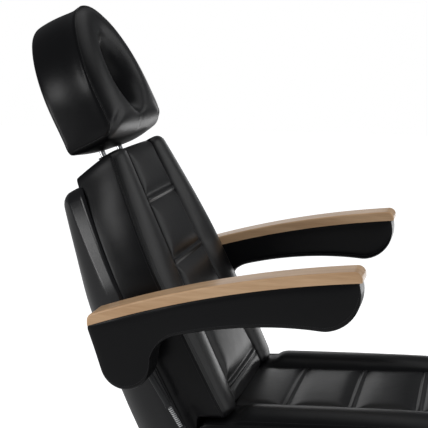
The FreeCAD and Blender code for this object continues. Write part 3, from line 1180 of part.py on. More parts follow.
def arm_carriers():
    """The plate that a link keeps level: it turns on the spindle and holds the armrest's stop pin."""
    stop = "-TabHalf - TabGap - TabPinRadius"
    corners = [("-HubRadius", "-HubRadius * 0.7"),
               (f"TabPinAhead - LinkEyeRadius", f"{stop} - LinkEyeRadius"),
               (f"TabPinAhead + LinkEyeRadius", f"{stop} - LinkEyeRadius / 2"),
               (f"TabPinAhead + LinkEyeRadius", f"{stop} + LinkEyeRadius"),
               (f"{LINK_AHEAD} + LinkEyeRadius", f"{LINK_ABOVE} + LinkEyeRadius"),
               (f"{LINK_AHEAD} - LinkEyeRadius", f"{LINK_ABOVE} + LinkEyeRadius"),
               ("-HubRadius", "HubRadius * 0.7")]
    for side, word in SIDES:
        face = "CarrierInner + CarrierThick" if side > 0 else "-CarrierInner"
        disc = plate(f"CarrierPlate{word}", "xz", corners, "CarrierThick", {"y": face})
        pin = side_rod(f"CarrierPin{word}", side, "LinkMiddle - LinkEyeWide / 2 - 2 * BracketGap",
                       "CarrierInner",
                       "LinkPinRadius", LINK_AHEAD, LINK_ABOVE)
        stop_pin = side_rod(f"StopPin{word}", side, "CarrierInner + CarrierThick",
                            "ArmInner - 2 * BracketGap",
                            "TabPinRadius", "TabPinAhead", stop)
        bore = side_rod(f"CarrierBore{word}", side, "CarrierInner - Overrun",
                        "CarrierInner + CarrierThick + Overrun",
                        "SpindleRadius + RunningGap")
        node(cut(f"ArmCarrier{word}", fuse(f"CarrierSolid{word}", [disc, pin, stop_pin]), [bore]),
             f"arm_carrier_{word}", arm_place)


def arm_links():
    """The levelling link of each armrest: rod ends, a threaded stud that shows, and a tube."""
    foot = hinge + V(size.LinkArm * math.cos(math.radians(size.LinkTurn)), 0,
                     size.LinkArm * math.sin(math.radians(size.LinkTurn)))
    reach = arm_pivot - hinge
    place = FreeCAD.Placement(foot, FreeCAD.Rotation(Y_AXIS, math.degrees(math.atan2(reach.x, reach.z))))
    long = reach.Length

    def nut(start, y):
        ring = [V(size.LinkNutRadius * math.cos(math.radians(60 * i)),
                  y + size.LinkNutRadius * math.sin(math.radians(60 * i)), start)
                for i in range(7)]
        return Part.Face(Part.makePolygon(ring)).extrude(V(0, 0, size.LinkNutHigh))
    for side, word in SIDES:
        y = side * size.LinkMiddle
        stud_top = size.LinkSocketLong + size.LinkStudShown

        def tube(start, end, radius):
            return Part.makeCylinder(radius, end - start, V(0, y, start))

        def eye(z):
            return across(size.LinkEyeRadius, y - size.LinkEyeWide / 2, y + size.LinkEyeWide / 2, 0, z)

        def bore(z):
            return across(size.LinkPinRadius + size.RunningGap, y - size.LinkEyeWide, y + size.LinkEyeWide,
                          0, z)
        stud = tube(size.LinkSocketLong / 2, stud_top + size.LinkSocketLong / 2, size.LinkStudRadius)
        lower = eye(0).fuse([tube(0, size.LinkSocketLong, size.LinkTubeRadius),
                             nut(size.LinkSocketLong - size.LinkNutHigh, y)])
        upper = eye(long).fuse([tube(stud_top, long, size.LinkTubeRadius), nut(stud_top, y)])
        lower = lower.cut(bore(0)).cut(stud).removeSplitter()
        upper = upper.cut(bore(long)).cut(stud).removeSplitter()
        node(solid(f"LinkStud{word.title()}", stud), f"link_stud_{word}", place)
        node(solid(f"LinkEnds{word.title()}", Part.makeCompound([lower, upper])), f"link_ends_{word}", place)


# Leg section, drawn from the knee axis forward, and the footrest that slides out of it

LEG_TOP = "AxisDepth - KneeHeight"
LEG_FRAME_TOP = FRAME_TOP + " - KneeHeight"
LEG_FRAME_LOW = FRAME_LOW + " - KneeHeight"


def leg_frame():
    blocks, bores = [], []
    tube_pair("LegTube", "LegTubeInner", ("0", "LegTubeFront"), LEG_FRAME_LOW, LEG_FRAME_TOP, bores, blocks)
    cross_tube("LegCross", "LegCrossAt", "LegTubeInner", LEG_FRAME_LOW, LEG_FRAME_TOP, bores, blocks)
    hinge_tube = rod("KneeTube", "y", "-SeatTubeInner + KneeLugThick + 2 * BracketGap",
                     "SeatTubeInner - KneeLugThick - 2 * BracketGap", "HingeTubeRadius")
    plates = [turned(p, -size.LegSwing / 2) for p in lever("LegLever", "LegLeverReach", "LegLeverPin",
                                                           "LegSwing / 2",
                                                           "ActuatorSide", -1)]
    bore = rod("KneeBore", "y", "-SeatTubeInner", "SeatTubeInner", "HingePinRadius + RunningGap")
    body = cut("LegTubesHollow", fuse("LegTubes", blocks), bores)
    node(cut("LegFrame", fuse("LegWeld", [body, hinge_tube] + plates), [bore]), "leg_frame", leg_place)


def leg_soft_parts():
    top = size.AxisDepth - size.KneeHeight
    low = top - size.SeatFoam
    panel = size.SeatPanelHalf
    shape = flat_cushion(-size.LegRear, -size.LegRear + size.LegLong, size.SeatHalf, panel, low, top,
                         LEG_BOLSTER_SHARES)
    shape = channels(shape, [size.LegChannelAt], panel, top)
    node(solid("LegCushion", shape), "leg_cushion", leg_place)
    inset = "SeatHalf - SeatBoardInset"
    front = "LegLong - LegRear - BracketGap"
    corners = [("LegBoardRear", f"-({inset})"), (front, f"-({inset})"), (front, inset),
               ("LegBoardRear", inset)]
    node(plate("LegBoard", "xy", corners, "BoardThick"), "leg_board",
         leg_place.multiply(FreeCAD.Placement(V(0, 0, low - size.BoardThick), FreeCAD.Rotation())))


def footrest():
    blocks, bores = [], []
    start = "LegLong - LegRear + FootGap"
    fit = "(TubeWall + SlideGap)"
    for side, word in SIDES:
        x = (f"{start} - FootTravel - SlideGrip", f"{start} + FootLong - EndRun")
        inner, outer = f"LegTubeInner + {fit}", f"LegTubeInner + TubeSize - {fit}"
        z = (f"{LEG_FRAME_LOW} + {fit}", f"{LEG_FRAME_TOP} - {fit}")
        blocks.append(side_block(f"Slide{word}", side, x, inner, outer, z))
        bores.append(side_block(f"SlideBore{word}", side, (f"{x[0]} - Overrun", f"{x[1]} + Overrun"),
                                f"{inner} + SlideWall",
                                f"{outer} - SlideWall", (f"{z[0]} + SlideWall", f"{z[1]} - SlideWall")))
    pad_low = "AxisDepth - KneeHeight - SeatFoam"
    tubes = cut("SlideTubes", fuse("SlideSolids", blocks), bores)
    shelf = block("FootPlate", (start, f"{start} + FootLong - EndRun"),
                  ("-SeatHalf + SeatBoardInset", "SeatHalf - SeatBoardInset"),
                  (f"{pad_low} - FootPlateThick", pad_low))
    webs = []
    for side, word in SIDES:
        webs.append(side_block(f"FootWeb{word}", side, (f"{start} + EndRun", f"{start} + FootLong - EndRun"),
                               "LegTubeInner + TubeSize / 3", "LegTubeInner + TubeSize * 2 / 3",
                               (f"{LEG_FRAME_TOP} - {fit}", f"{pad_low} - FootPlateThick")))
    node(fuse("FootSlide", [tubes, shelf] + webs), "foot_slide", leg_place)
    top = size.AxisDepth - size.KneeHeight
    at = size.LegLong - size.LegRear + size.FootGap
    shape = flat_cushion(at, at + size.FootLong, size.SeatHalf, size.SeatPanelHalf, top - size.SeatFoam, top,
                         LEG_BOLSTER_SHARES)
    node(solid("FootCushion", shape), "foot_cushion", leg_place)


base_frame()
levelling_feet()
base_cover()
mains_inlet()
column()
column_head()
lift_drive()
seat_frame()
pivot_pins()
seat_soft_parts()
seat_drives()
control_box()
handset()
back_frame()
back_board()
back_cushion()
back_shell()
arm_spindles()
headrest_guides()
headrest()
armrests()
arm_carriers()
arm_links()
leg_frame()
leg_soft_parts()
footrest()
doc.recompute()

for piece in doc.Objects:
    bad = [state for state in piece.State if state in ("Invalid", "Error")]
    if bad:
        raise RuntimeError(f"{piece.Name} ({piece.Label}) is {bad}")
for piece in sub_parts:
    if piece.Shape.isNull() or not piece.Shape.isValid() or not piece.Shape.Solids:
        raise RuntimeError(f"{piece.Label} has no valid solid")

os.makedirs("parts", exist_ok=True)
whole = FreeCAD.BoundBox()
for piece in sub_parts:
    piece.Shape.exportStep(f"parts/{piece.Label}.step")
    whole.add(piece.Shape.BoundBox)
    print(f"{piece.Label}: {len(piece.Shape.Solids)} solid(s), {piece.Shape.Volume / 1000:.1f} cm3")
print(f"{len(sub_parts)} nodes; box X {whole.XMin:.1f} to {whole.XMax:.1f}, "
      f"Y {whole.YMin:.1f} to {whole.YMax:.1f}, Z {whole.ZMin:.1f} to {whole.ZMax:.1f}")
print(f"armrest pivot at X {arm_pivot.x:.2f} Z {arm_pivot.z:.2f}; knee axis at X {knee.x:.2f} Z {knee.z:.2f}")
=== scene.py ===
# %% [markdown]
# # An electric beauty couch, dressed in Blender
#
# A salon couch is a set of padded sections on a lifting column. The engineering model already
# holds every tube, hinge and board in its true place, so this lesson only adds what the eye
# wants: stitched black leatherette, beech armrest caps, moulded covers and metal. Each cell
# makes one thing and prints what it made. All lengths are in metres.

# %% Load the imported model
import bpy
import bmesh
import json
import math
from mathutils import Matrix, Vector
from mathutils.bvhtree import BVHTree


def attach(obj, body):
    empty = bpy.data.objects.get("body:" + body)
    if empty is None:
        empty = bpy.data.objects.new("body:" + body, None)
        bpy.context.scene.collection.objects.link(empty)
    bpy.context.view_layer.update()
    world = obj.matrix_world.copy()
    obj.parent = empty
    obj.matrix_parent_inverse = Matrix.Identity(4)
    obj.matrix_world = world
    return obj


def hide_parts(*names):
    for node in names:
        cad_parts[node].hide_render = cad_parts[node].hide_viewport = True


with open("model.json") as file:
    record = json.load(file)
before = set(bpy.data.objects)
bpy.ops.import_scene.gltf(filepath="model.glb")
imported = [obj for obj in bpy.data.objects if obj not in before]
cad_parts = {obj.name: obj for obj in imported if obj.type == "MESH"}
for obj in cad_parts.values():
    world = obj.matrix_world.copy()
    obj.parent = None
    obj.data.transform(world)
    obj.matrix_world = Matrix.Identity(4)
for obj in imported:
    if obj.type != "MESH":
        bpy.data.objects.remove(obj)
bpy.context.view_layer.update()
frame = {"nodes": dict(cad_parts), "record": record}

scene = bpy.context.scene
nodes = frame["nodes"]
record = frame["record"]
joints = {joint["name"]: joint for joint in record["behaviour"]["joints"]}

# %% [markdown]
# ## Frames for the sections
#
# The backrest leans and the seat tilts a little, so their shapes are easier to write lying flat.
# A section is a point on its hinge and the direction in which it runs. Its own height axis then
# comes from a cross product. Both are read from the model's joints, so nothing is measured twice.

# %% A section's own frame
SIDE = Vector((0, 1, 0))


class Section:
    """A flat frame: x runs along the section to the feet, y to the left and z out of its surface."""

    def __init__(self, origin, forward):
        self.origin = Vector(origin)
        self.forward = Vector(forward).normalized()
        self.normal = self.forward.cross(SIDE)

    def world(self, x, y, z):
        return self.origin + self.forward * x + SIDE * y + self.normal * z


seat_way = joints["footrest_slide"]["axis"]
back_way = [-part for part in joints["headrest_slide"]["axis"]]
seat = Section(joints["back_recline"]["pos_m"], seat_way)
back = Section(joints["back_recline"]["pos_m"], back_way)
legs = Section(joints["legs_lower"]["pos_m"], seat_way)
arm_pivot = Vector(joints["armrest_flip_left"]["pos_m"])
arm_pivot.y = 0
arm = Section(arm_pivot, (1, 0, 0))
print("backrest leans", round(math.degrees(math.acos(-back.forward.z)), 1), "degrees from upright")

# %% [markdown]
# ## Shader effects that several finishes share
#
# Leatherette is printed with a fine pebble grain, moulded plastic has a spark-eroded texture and
# painted steel has a faint orange peel. They differ in scale, not in kind, so the grain is one
# node group with named inputs. A second group makes the slight unevenness that use leaves, and a
# third the thin dust that settles on faces that look up. Groups put out heights and masks only.

# %% Node helpers
def start_tree(name, kind, inputs, outputs):
    """An empty group with named sockets, each given as its default number or as its kind."""
    tree = bpy.data.node_groups.new(name, kind)
    for way, sockets in (("INPUT", inputs), ("OUTPUT", outputs)):
        for label, value in sockets.items():
            number = isinstance(value, float)
            socket = tree.interface.new_socket(
                label, in_out=way, socket_type="NodeSocket" + ("Float" if number else value))
            if number:
                socket.default_value = value
    return tree, tree.nodes.new("NodeGroupInput").outputs, tree.nodes.new("NodeGroupOutput").inputs


def feed(tree, node, values):
    """Gives a node's inputs their values: a socket is linked and anything else is a constant."""
    for label, value in values.items():
        if isinstance(value, bpy.types.NodeSocket):
            tree.links.new(value, node.inputs[label])
        else:
            node.inputs[label].default_value = value


def add_node(tree, kind, values=None, **settings):
    """A new node with its settings and the values of its inputs."""
    node = tree.nodes.new(kind)
    for key, value in settings.items():
        setattr(node, key, value)
    feed(tree, node, values or {})
    return node


def result(tree, kind, values=None, **settings):
    """The first output of a new node."""
    return add_node(tree, kind, values, **settings).outputs[0]


def math_node(tree, operation, first, second=0.5):
    return result(tree, "ShaderNodeMath", {0: first, 1: second}, operation=operation)


def times(tree, first, second):
    return math_node(tree, "MULTIPLY", first, second)


def plus(tree, first, second):
    return math_node(tree, "ADD", first, second)


def noise_node(tree, vector, scale, detail):
    return result(tree, "ShaderNodeTexNoise", {"Vector": vector, "Scale": scale, "Detail": detail})


def own_place(tree):
    """Where a point is on its piece, in metres."""
    return add_node(tree, "ShaderNodeTexCoord").outputs["Object"]


# %% The three shared effects
PEBBLE_SHARE, FOLD_SCALE, WEAR_SCALES, DUST_SCALE = 0.12, 11.0, (7.0, 70.0), 25.0


def make_grain_group():
    inputs = {"Pebble": 900.0, "Soft folds": 0.3}
    tree, start, end = start_tree("surface_grain", "ShaderNodeTree", inputs, {"Height": "Float"})
    place = own_place(tree)
    cells = result(tree, "ShaderNodeTexVoronoi", {"Vector": place, "Scale": start["Pebble"]},
                   feature="SMOOTH_F1")
    fine = noise_node(tree, place, times(tree, start["Pebble"], 0.4), 2.0)
    folds = noise_node(tree, place, FOLD_SCALE, 4.0)
    pebbles = plus(tree, cells, times(tree, fine, 0.5))
    height = plus(tree, times(tree, pebbles, PEBBLE_SHARE), times(tree, folds, start["Soft folds"]))
    tree.links.new(height, end["Height"])
    return tree


def make_wear_group():
    tree, start, end = start_tree("handling_wear", "ShaderNodeTree", {"Amount": 0.1}, {"Mask": "Float"})
    place = own_place(tree)
    broad = noise_node(tree, place, WEAR_SCALES[0], 3.0)
    fine = noise_node(tree, place, WEAR_SCALES[1], 5.0)
    tree.links.new(times(tree, times(tree, plus(tree, broad, fine), 0.5), start["Amount"]), end["Mask"])
    return tree


def make_dust_group():
    tree, start, end = start_tree("settled_dust", "ShaderNodeTree", {"Amount": 0.05}, {"Mask": "Float"})
    normal = add_node(tree, "ShaderNodeNewGeometry").outputs["Normal"]
    split = add_node(tree, "ShaderNodeSeparateXYZ", {0: normal})
    up = math_node(tree, "MAXIMUM", split.outputs["Z"], 0.0)
    patches = noise_node(tree, own_place(tree), DUST_SCALE, 6.0)
    tree.links.new(times(tree, times(tree, up, patches), start["Amount"]), end["Mask"])
    return tree


GRAIN, WEAR, DUST = make_grain_group(), make_wear_group(), make_dust_group()
print("shader groups:", GRAIN.name, WEAR.name, DUST.name)

# %% [markdown]
# ## Finishes
#
# Every finish starts from the same recipe: a base colour that dust lightens a little, a roughness
# that handling varies, and the grain as a bump. What makes leatherette look like leatherette is
# the size of its pebbles and a soft, low gloss. Plain constants go straight on the shader.

# %% A finish from numbers
DUST_COLOUR = (0.35, 0.34, 0.32, 1)


def mix_colours(tree, share, first, second, name="Mix"):
    """A mix of two colours, whose inputs 6 and 7 are those colours and whose output 2 is the result."""
    return add_node(tree, "ShaderNodeMix", {0: share, 6: first, 7: second}, data_type="RGBA", name=name)


def finish(name, colour, roughness, metallic=0.0, pebble=900.0, folds=0.0, bump=0.1, bump_depth=0.0004,
           wear=0.1, dust=0.04, specular=0.5, coat=0.0):
    """A procedural material; grain feeds a bump, wear the roughness and dust the colour."""
    material = bpy.data.materials.new(name)
    material.use_nodes = True
    tree = material.node_tree
    grain = add_node(tree, "ShaderNodeGroup", {"Pebble": pebble, "Soft folds": folds}, node_tree=GRAIN)
    use = add_node(tree, "ShaderNodeGroup", {"Amount": wear}, node_tree=WEAR)
    settled = add_node(tree, "ShaderNodeGroup", {"Amount": dust}, node_tree=DUST)
    mix = mix_colours(tree, settled.outputs["Mask"], (*colour, 1), DUST_COLOUR, "base_colour")
    heights = {"Strength": bump, "Distance": bump_depth, "Height": grain.outputs["Height"]}
    relief = result(tree, "ShaderNodeBump", heights, name="relief")
    feed(tree, tree.nodes["Principled BSDF"], {
        "Metallic": metallic, "Specular IOR Level": specular, "Coat Weight": coat,
        "Base Color": mix.outputs[2], "Normal": relief,
        "Roughness": plus(tree, use.outputs["Mask"], roughness - wear / 2)})
    return material


# %% The plain finishes
leatherette = finish("black_leatherette", (0.0045, 0.0045, 0.0052), 0.31, pebble=620, folds=1.2, bump=0.5,
                     bump_depth=0.0012, wear=0.12, dust=0.004, specular=0.28)
thread = finish("black_thread", (0.02, 0.02, 0.022), 0.6, pebble=2500, bump=0.4, dust=0.0)
shell_plastic = finish("black_moulding", (0.008, 0.008, 0.009), 0.22, pebble=1500, bump=0.2, dust=0.006,
                       specular=0.45)
cover_plastic = finish("pale_moulding", (0.72, 0.72, 0.71), 0.38, pebble=1500, bump=0.2, dust=0.10)
powder_coat = finish("powder_coat", (0.018, 0.018, 0.02), 0.42, pebble=700, bump=0.25, dust=0.06)
column_coat = finish("anodised_column", (0.62, 0.63, 0.64), 0.34, metallic=0.85, pebble=2000, bump=0.12)
chrome = finish("polished_steel", (0.78, 0.78, 0.80), 0.12, metallic=1.0, pebble=2500, bump=0.03, dust=0.0,
                wear=0.06)
turned_steel = finish("turned_steel", (0.52, 0.52, 0.54), 0.30, metallic=1.0, pebble=2500, bump=0.1)
drive_plastic = finish("drive_housing", (0.022, 0.022, 0.024), 0.48, pebble=1300, bump=0.3, dust=0.08)
key_plastic = finish("grey_keys", (0.28, 0.29, 0.31), 0.45, pebble=1500, bump=0.15, dust=0.02)
glide_plastic = finish("glide_plastic", (0.78, 0.78, 0.74), 0.5, pebble=1500, bump=0.15)
rubber = finish("foot_rubber", (0.03, 0.03, 0.03), 0.8, pebble=600, bump=0.4, dust=0.15)
print("plain finishes:", len(bpy.data.materials))

# %% [markdown]
# Wood is not a grainy plastic: its streaks run along the board and its pores are long and thin.
# Stretching the coordinates makes both from ordinary noise. The armrest caps are beech under a
# clear varnish, whose grain follows the length of the cap, and the hidden boards are plywood.

# %% Wood
STREAK_SHARE, FLECK_SHARE, WOOD_STOPS = 0.72, 0.28, (0.32, 0.66)


def wood(name, light, dark, stretch, roughness, coat):
    """Wood whose streaks run along X, from two colours and stretched noise."""
    material = finish(name, light, roughness, pebble=300, bump=0.12, dust=0.0, coat=coat)
    tree = material.node_tree
    feed(tree, tree.nodes["Principled BSDF"], {"Coat Roughness": 0.18})
    noises = []
    for scale, detail in ((stretch, 6.0), ((stretch[0] * 6, stretch[1] * 7, stretch[2] * 7), 2.0)):
        scaled = result(tree, "ShaderNodeMapping", {"Vector": own_place(tree), "Scale": scale})
        noises.append(noise_node(tree, scaled, 1.0, detail))
    streaks, flecks = noises
    blend = plus(tree, times(tree, streaks, STREAK_SHARE), times(tree, flecks, FLECK_SHARE))
    ramp = add_node(tree, "ShaderNodeValToRGB", {"Fac": blend})
    for number, colour in enumerate((dark, light)):
        ramp.color_ramp.elements[number].position = WOOD_STOPS[number]
        ramp.color_ramp.elements[number].color = (*colour, 1)
    feed(tree, tree.nodes["base_colour"], {6: ramp.outputs["Color"]})
    feed(tree, tree.nodes["relief"], {"Height": flecks})
    return material


beech = wood("beech_cap", (0.72, 0.47, 0.27), (0.54, 0.32, 0.165), (4.0, 55.0, 55.0), 0.34, 0.25)
plywood = wood("plywood", (0.60, 0.44, 0.27), (0.42, 0.28, 0.15), (3.0, 20.0, 260.0), 0.6, 0.0)
print("wood finishes:", beech.name, plywood.name)

# %% [markdown]
# A threaded stud catches the light once per turn. The height along the rod, divided by the pitch, goes into a
# sine wave.
# It lifts the crests as a bump, and it also paints shade into the grooves and a highlight onto the crests of
# the base colour.

# %% Threaded steel
THREAD_PITCH = 0.0045


def threaded(name, way, pitch):
    """Steel with a screw thread along a direction: a bump of crests, with painted shade in the grooves and
    painted highlights on the crests.
    """
    material = finish(name, (0.8, 0.8, 0.8), 0.36, metallic=0.3, pebble=2500, bump=0.8, bump_depth=pitch / 3,
                      dust=0.0)
    tree = material.node_tree
    along = add_node(tree, "ShaderNodeVectorMath", {0: own_place(tree), 1: way}, operation="DOT_PRODUCT")
    turns = times(tree, along.outputs["Value"], math.tau / pitch)
    crest = plus(tree, times(tree, math_node(tree, "SINE", turns), 0.5), 0.5)
    # Painted shade and highlight: the base colour goes from near black in the grooves to near white on the
    # crests
    thread_painted_shade = mix_colours(tree, crest, (0.03, 0.03, 0.03, 1), (0.85, 0.85, 0.85, 1))
    feed(tree, tree.nodes["base_colour"], {6: thread_painted_shade.outputs[2]})
    feed(tree, tree.nodes["relief"], {"Height": crest})
    return material


stud_steel = threaded("threaded_steel", tuple(-part for part in back_way), THREAD_PITCH)
print("thread pitch", THREAD_PITCH, "m")

# %% [markdown]
# Tubes, boards, covers and pins already have their true shape, so they only get a finish. The
# record gives each piece a material slot, and a table from slot to finish dresses them all.

# %% Give the engineering pieces their finish
SLOT_FINISH = {
    "upholstery": leatherette, "wood": beech, "ply": plywood, "shell": shell_plastic,
    "cover": cover_plastic, "frame_steel": powder_coat, "column_metal": column_coat,
    "bright_steel": chrome, "pin_steel": turned_steel, "black_plastic": drive_plastic,
    "grey_plastic": key_plastic, "glide_plastic": glide_plastic, "foot_rubber": rubber,
}
for part in record["subparts"]:
    piece = nodes[part["node"]]
    if not piece.material_slots:
        piece.data.materials.append(None)
    for place in piece.material_slots:
        place.material = SLOT_FINISH[part["material_slot"]]
for side in ("left", "right"):
    nodes[f"link_stud_{side}"].material_slots[0].material = stud_steel
    nodes[f"link_ends_{side}"].material_slots[0].material = powder_coat
print("finished", len(record["subparts"]), "engineering pieces")

# %% [markdown]
# ## Padded sections
#
# An upholsterer sews panels together and pulls them down at the seams, and the foam swells
# between the seams. The same can be done here: a block of grid lines is shaped into the section,
# with lines exactly on each seam, the seams are pinned, and a cloth simulation with a little air
# pressure blows the panels up between them. Grid lines that follow the seams keep them crisp,
# which a voxel remesh would not.

# %% A block of grid lines
def spread(start, end, count):
    """Evenly spaced numbers, both ends included."""
    return [start + (end - start) * i / count for i in range(count + 1)]


def grid_lines(start, end, step, marks, hug):
    """Lines about a step apart, with one on every mark and one close by on each side of it."""
    wanted = {round(start, 5), round(end, 5)}
    for mark in marks:
        for line in (mark - hug, mark, mark + hug):
            if start < line < end:
                wanted.add(round(line, 5))
    stops = sorted(wanted)
    lines = [stops[0]]
    for low, high in zip(stops, stops[1:]):
        count = max(1, round((high - low) / step))
        lines += [low + (high - low) * (i + 1) / count for i in range(count)]
    return lines


def mesh_of(name, points, faces):
    """A smooth mesh from points and faces."""
    mesh = bpy.data.meshes.new(name)
    mesh.from_pydata([tuple(point) for point in points], [], faces)
    tidy_normals(mesh)
    return mesh


def block_mesh(name, us, vs, ws, place):
    """A mesh over the six sides of a block of grid lines, and the line numbers of each vertex."""
    index, points, faces = {}, [], []

    def corner(*key):
        if key not in index:
            index[key] = len(points)
            points.append(place(us[key[0]], vs[key[1]], ws[key[2]]))
        return index[key]

    counts = [len(lines) - 1 for lines in (us, vs, ws)]
    for fixed in range(3):
        first, second = [axis for axis in range(3) if axis != fixed]
        for level in (0, counts[fixed]):
            for i in range(counts[first]):
                for j in range(counts[second]):
                    face = []
                    for step_i, step_j in ((0, 0), (1, 0), (1, 1), (0, 1)):
                        key = [0, 0, 0]
                        key[fixed], key[first], key[second] = level, i + step_i, j + step_j
                        face.append(corner(*key))
                    faces.append(face)
    return mesh_of(name, points, faces), index


def tidy_normals(mesh):
    """Turns all faces outwards and shades them smooth."""
    shape = bmesh.new()
    shape.from_mesh(mesh)
    bmesh.ops.recalc_face_normals(shape, faces=shape.faces)
    for face in shape.faces:
        face.smooth = True
    shape.to_mesh(mesh)
    shape.free()


def put(name, data):
    """A new object in the scene, at its origin."""
    thing = bpy.data.objects.new(name, data)
    scene.collection.objects.link(thing)
    return thing


def show(name, mesh, material):
    """Puts a mesh in the scene with its material."""
    piece = put(name, mesh)
    mesh.materials.clear()
    mesh.materials.append(material)
    return piece


# %% [markdown]
# The pressure is light and each vertex may only move a few millimetres, so the cushions stay the
# size that the frame was built for. Underneath, where a board holds the foam, nothing moves.

# %% Blow a cushion up
SIM_FRAMES = 20
CLOTH_SETTINGS = {"quality": 4, "mass": 0.3, "tension_stiffness": 8, "compression_stiffness": 8,
                  "shear_stiffness": 4, "bending_stiffness": 1.5, "use_pressure": True}


def evaluated(piece):
    """The piece as its modifiers leave it."""
    return piece.evaluated_get(bpy.context.evaluated_depsgraph_get())


def finished_mesh(piece):
    """A plain mesh of the piece with its modifiers on it."""
    return bpy.data.meshes.new_from_object(evaluated(piece))


def puff(piece, pinned, limit, pressure=4.0):
    """Cloth under pressure between pinned vertices; no vertex moves further than the limit."""
    mesh = piece.data
    before = [vertex.co.copy() for vertex in mesh.vertices]
    group = piece.vertex_groups.new(name="sewn")
    group.add(sorted(pinned), 1.0, "REPLACE")
    cloth = piece.modifiers.new("Cloth", "CLOTH")
    for key, value in CLOTH_SETTINGS.items():
        setattr(cloth.settings, key, value)
    cloth.settings.uniform_pressure_force = pressure
    cloth.settings.vertex_group_mass = group.name
    cloth.settings.effector_weights.gravity = 0
    cloth.collision_settings.use_collision = False
    cloth.point_cache.frame_start = 1
    cloth.point_cache.frame_end = SIM_FRAMES
    for number in range(1, SIM_FRAMES + 1):
        scene.frame_set(number)
    ready = evaluated(piece)
    moved = [vertex.co.copy() for vertex in ready.to_mesh().vertices]
    ready.to_mesh_clear()
    piece.modifiers.remove(cloth)
    piece.vertex_groups.clear()
    scene.frame_set(1)
    held, most = set(pinned), 0.0
    for number, vertex in enumerate(mesh.vertices):
        shift = moved[number] - before[number]
        far = shift.length
        if far > 0 and number not in held:
            kept = limit * math.tanh(far / limit)
            vertex.co = before[number] + shift * (kept / far)
            most = max(most, kept)
    print(piece.name, "swells by at most", round(most * 1000, 1), "mm")


def cover(piece, node, body):
    """Rounds a cushion with one level of subdivision and puts it in its node's place on a body."""
    smooth = piece.modifiers.new("Smooth", "SUBSURF")
    smooth.levels = smooth.render_levels = 1
    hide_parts(node)
    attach(piece, body)


# %% [markdown]
# ## Seat, leg section, footrest and backrest
#
# These four are one idea with different sizes. Across, a recessed panel lies between two
# bolsters. Along, pairs of sewn channels cross the panel. A profile gives the height at any place,
# and a table the half width along the backrest. One function therefore shapes all four.

# %% The common profile
PANEL_SHARE, PANEL_CROWN = 0.55, 0.002
SEAM_DEPTH, CHANNEL_DEPTH, CHANNEL_RIDGE, CHANNEL_GAP, CHANNEL_WIDE = 0.0045, 0.0032, 0.0030, 0.0075, 0.003
BOLSTER_FALL, SIDE_BULGE, LIGHT_SHRINK = 0.003, 0.004, 0.002
END_NARROWING, SLANT_REACH = 0.35, (0.16, 0.08)
ACROSS_STEP, ACROSS_HUG, ALONG_STEP = 0.034, 0.012, 0.010
LAYERS = [0, 0.14, 0.3, 0.46, 0.62, 0.78, 0.92, 1]


def eased(share):
    """Goes from 0 to 1 with a level start and end."""
    share = min(max(share, 0.0), 1.0)
    return share * share * (3 - 2 * share)


def from_table(table, value, reach=0.03):
    """A value from a table of (place, value), averaged over a short stretch so that it has no kinks."""
    def straight(at):
        if at <= table[0][0]:
            return table[0][1]
        for (a, low), (b, high) in zip(table, table[1:]):
            if at <= b:
                return low + (high - low) * (at - a) / (b - a)
        return table[-1][1]
    return sum(straight(value + reach * step / 4) for step in range(-4, 5)) / 9


def end_round(distance, run, drop):
    """How far a surface has dropped at a distance from its end, as a quarter ellipse."""
    if distance >= run:
        return 0.0
    inside = 1 - max(distance, 0.0) / run
    return drop * (1 - math.sqrt(max(0.0, 1 - inside * inside)))


def rule(value):
    """A size as a function of the place, also where it is one number everywhere."""
    return value if callable(value) else lambda place: value


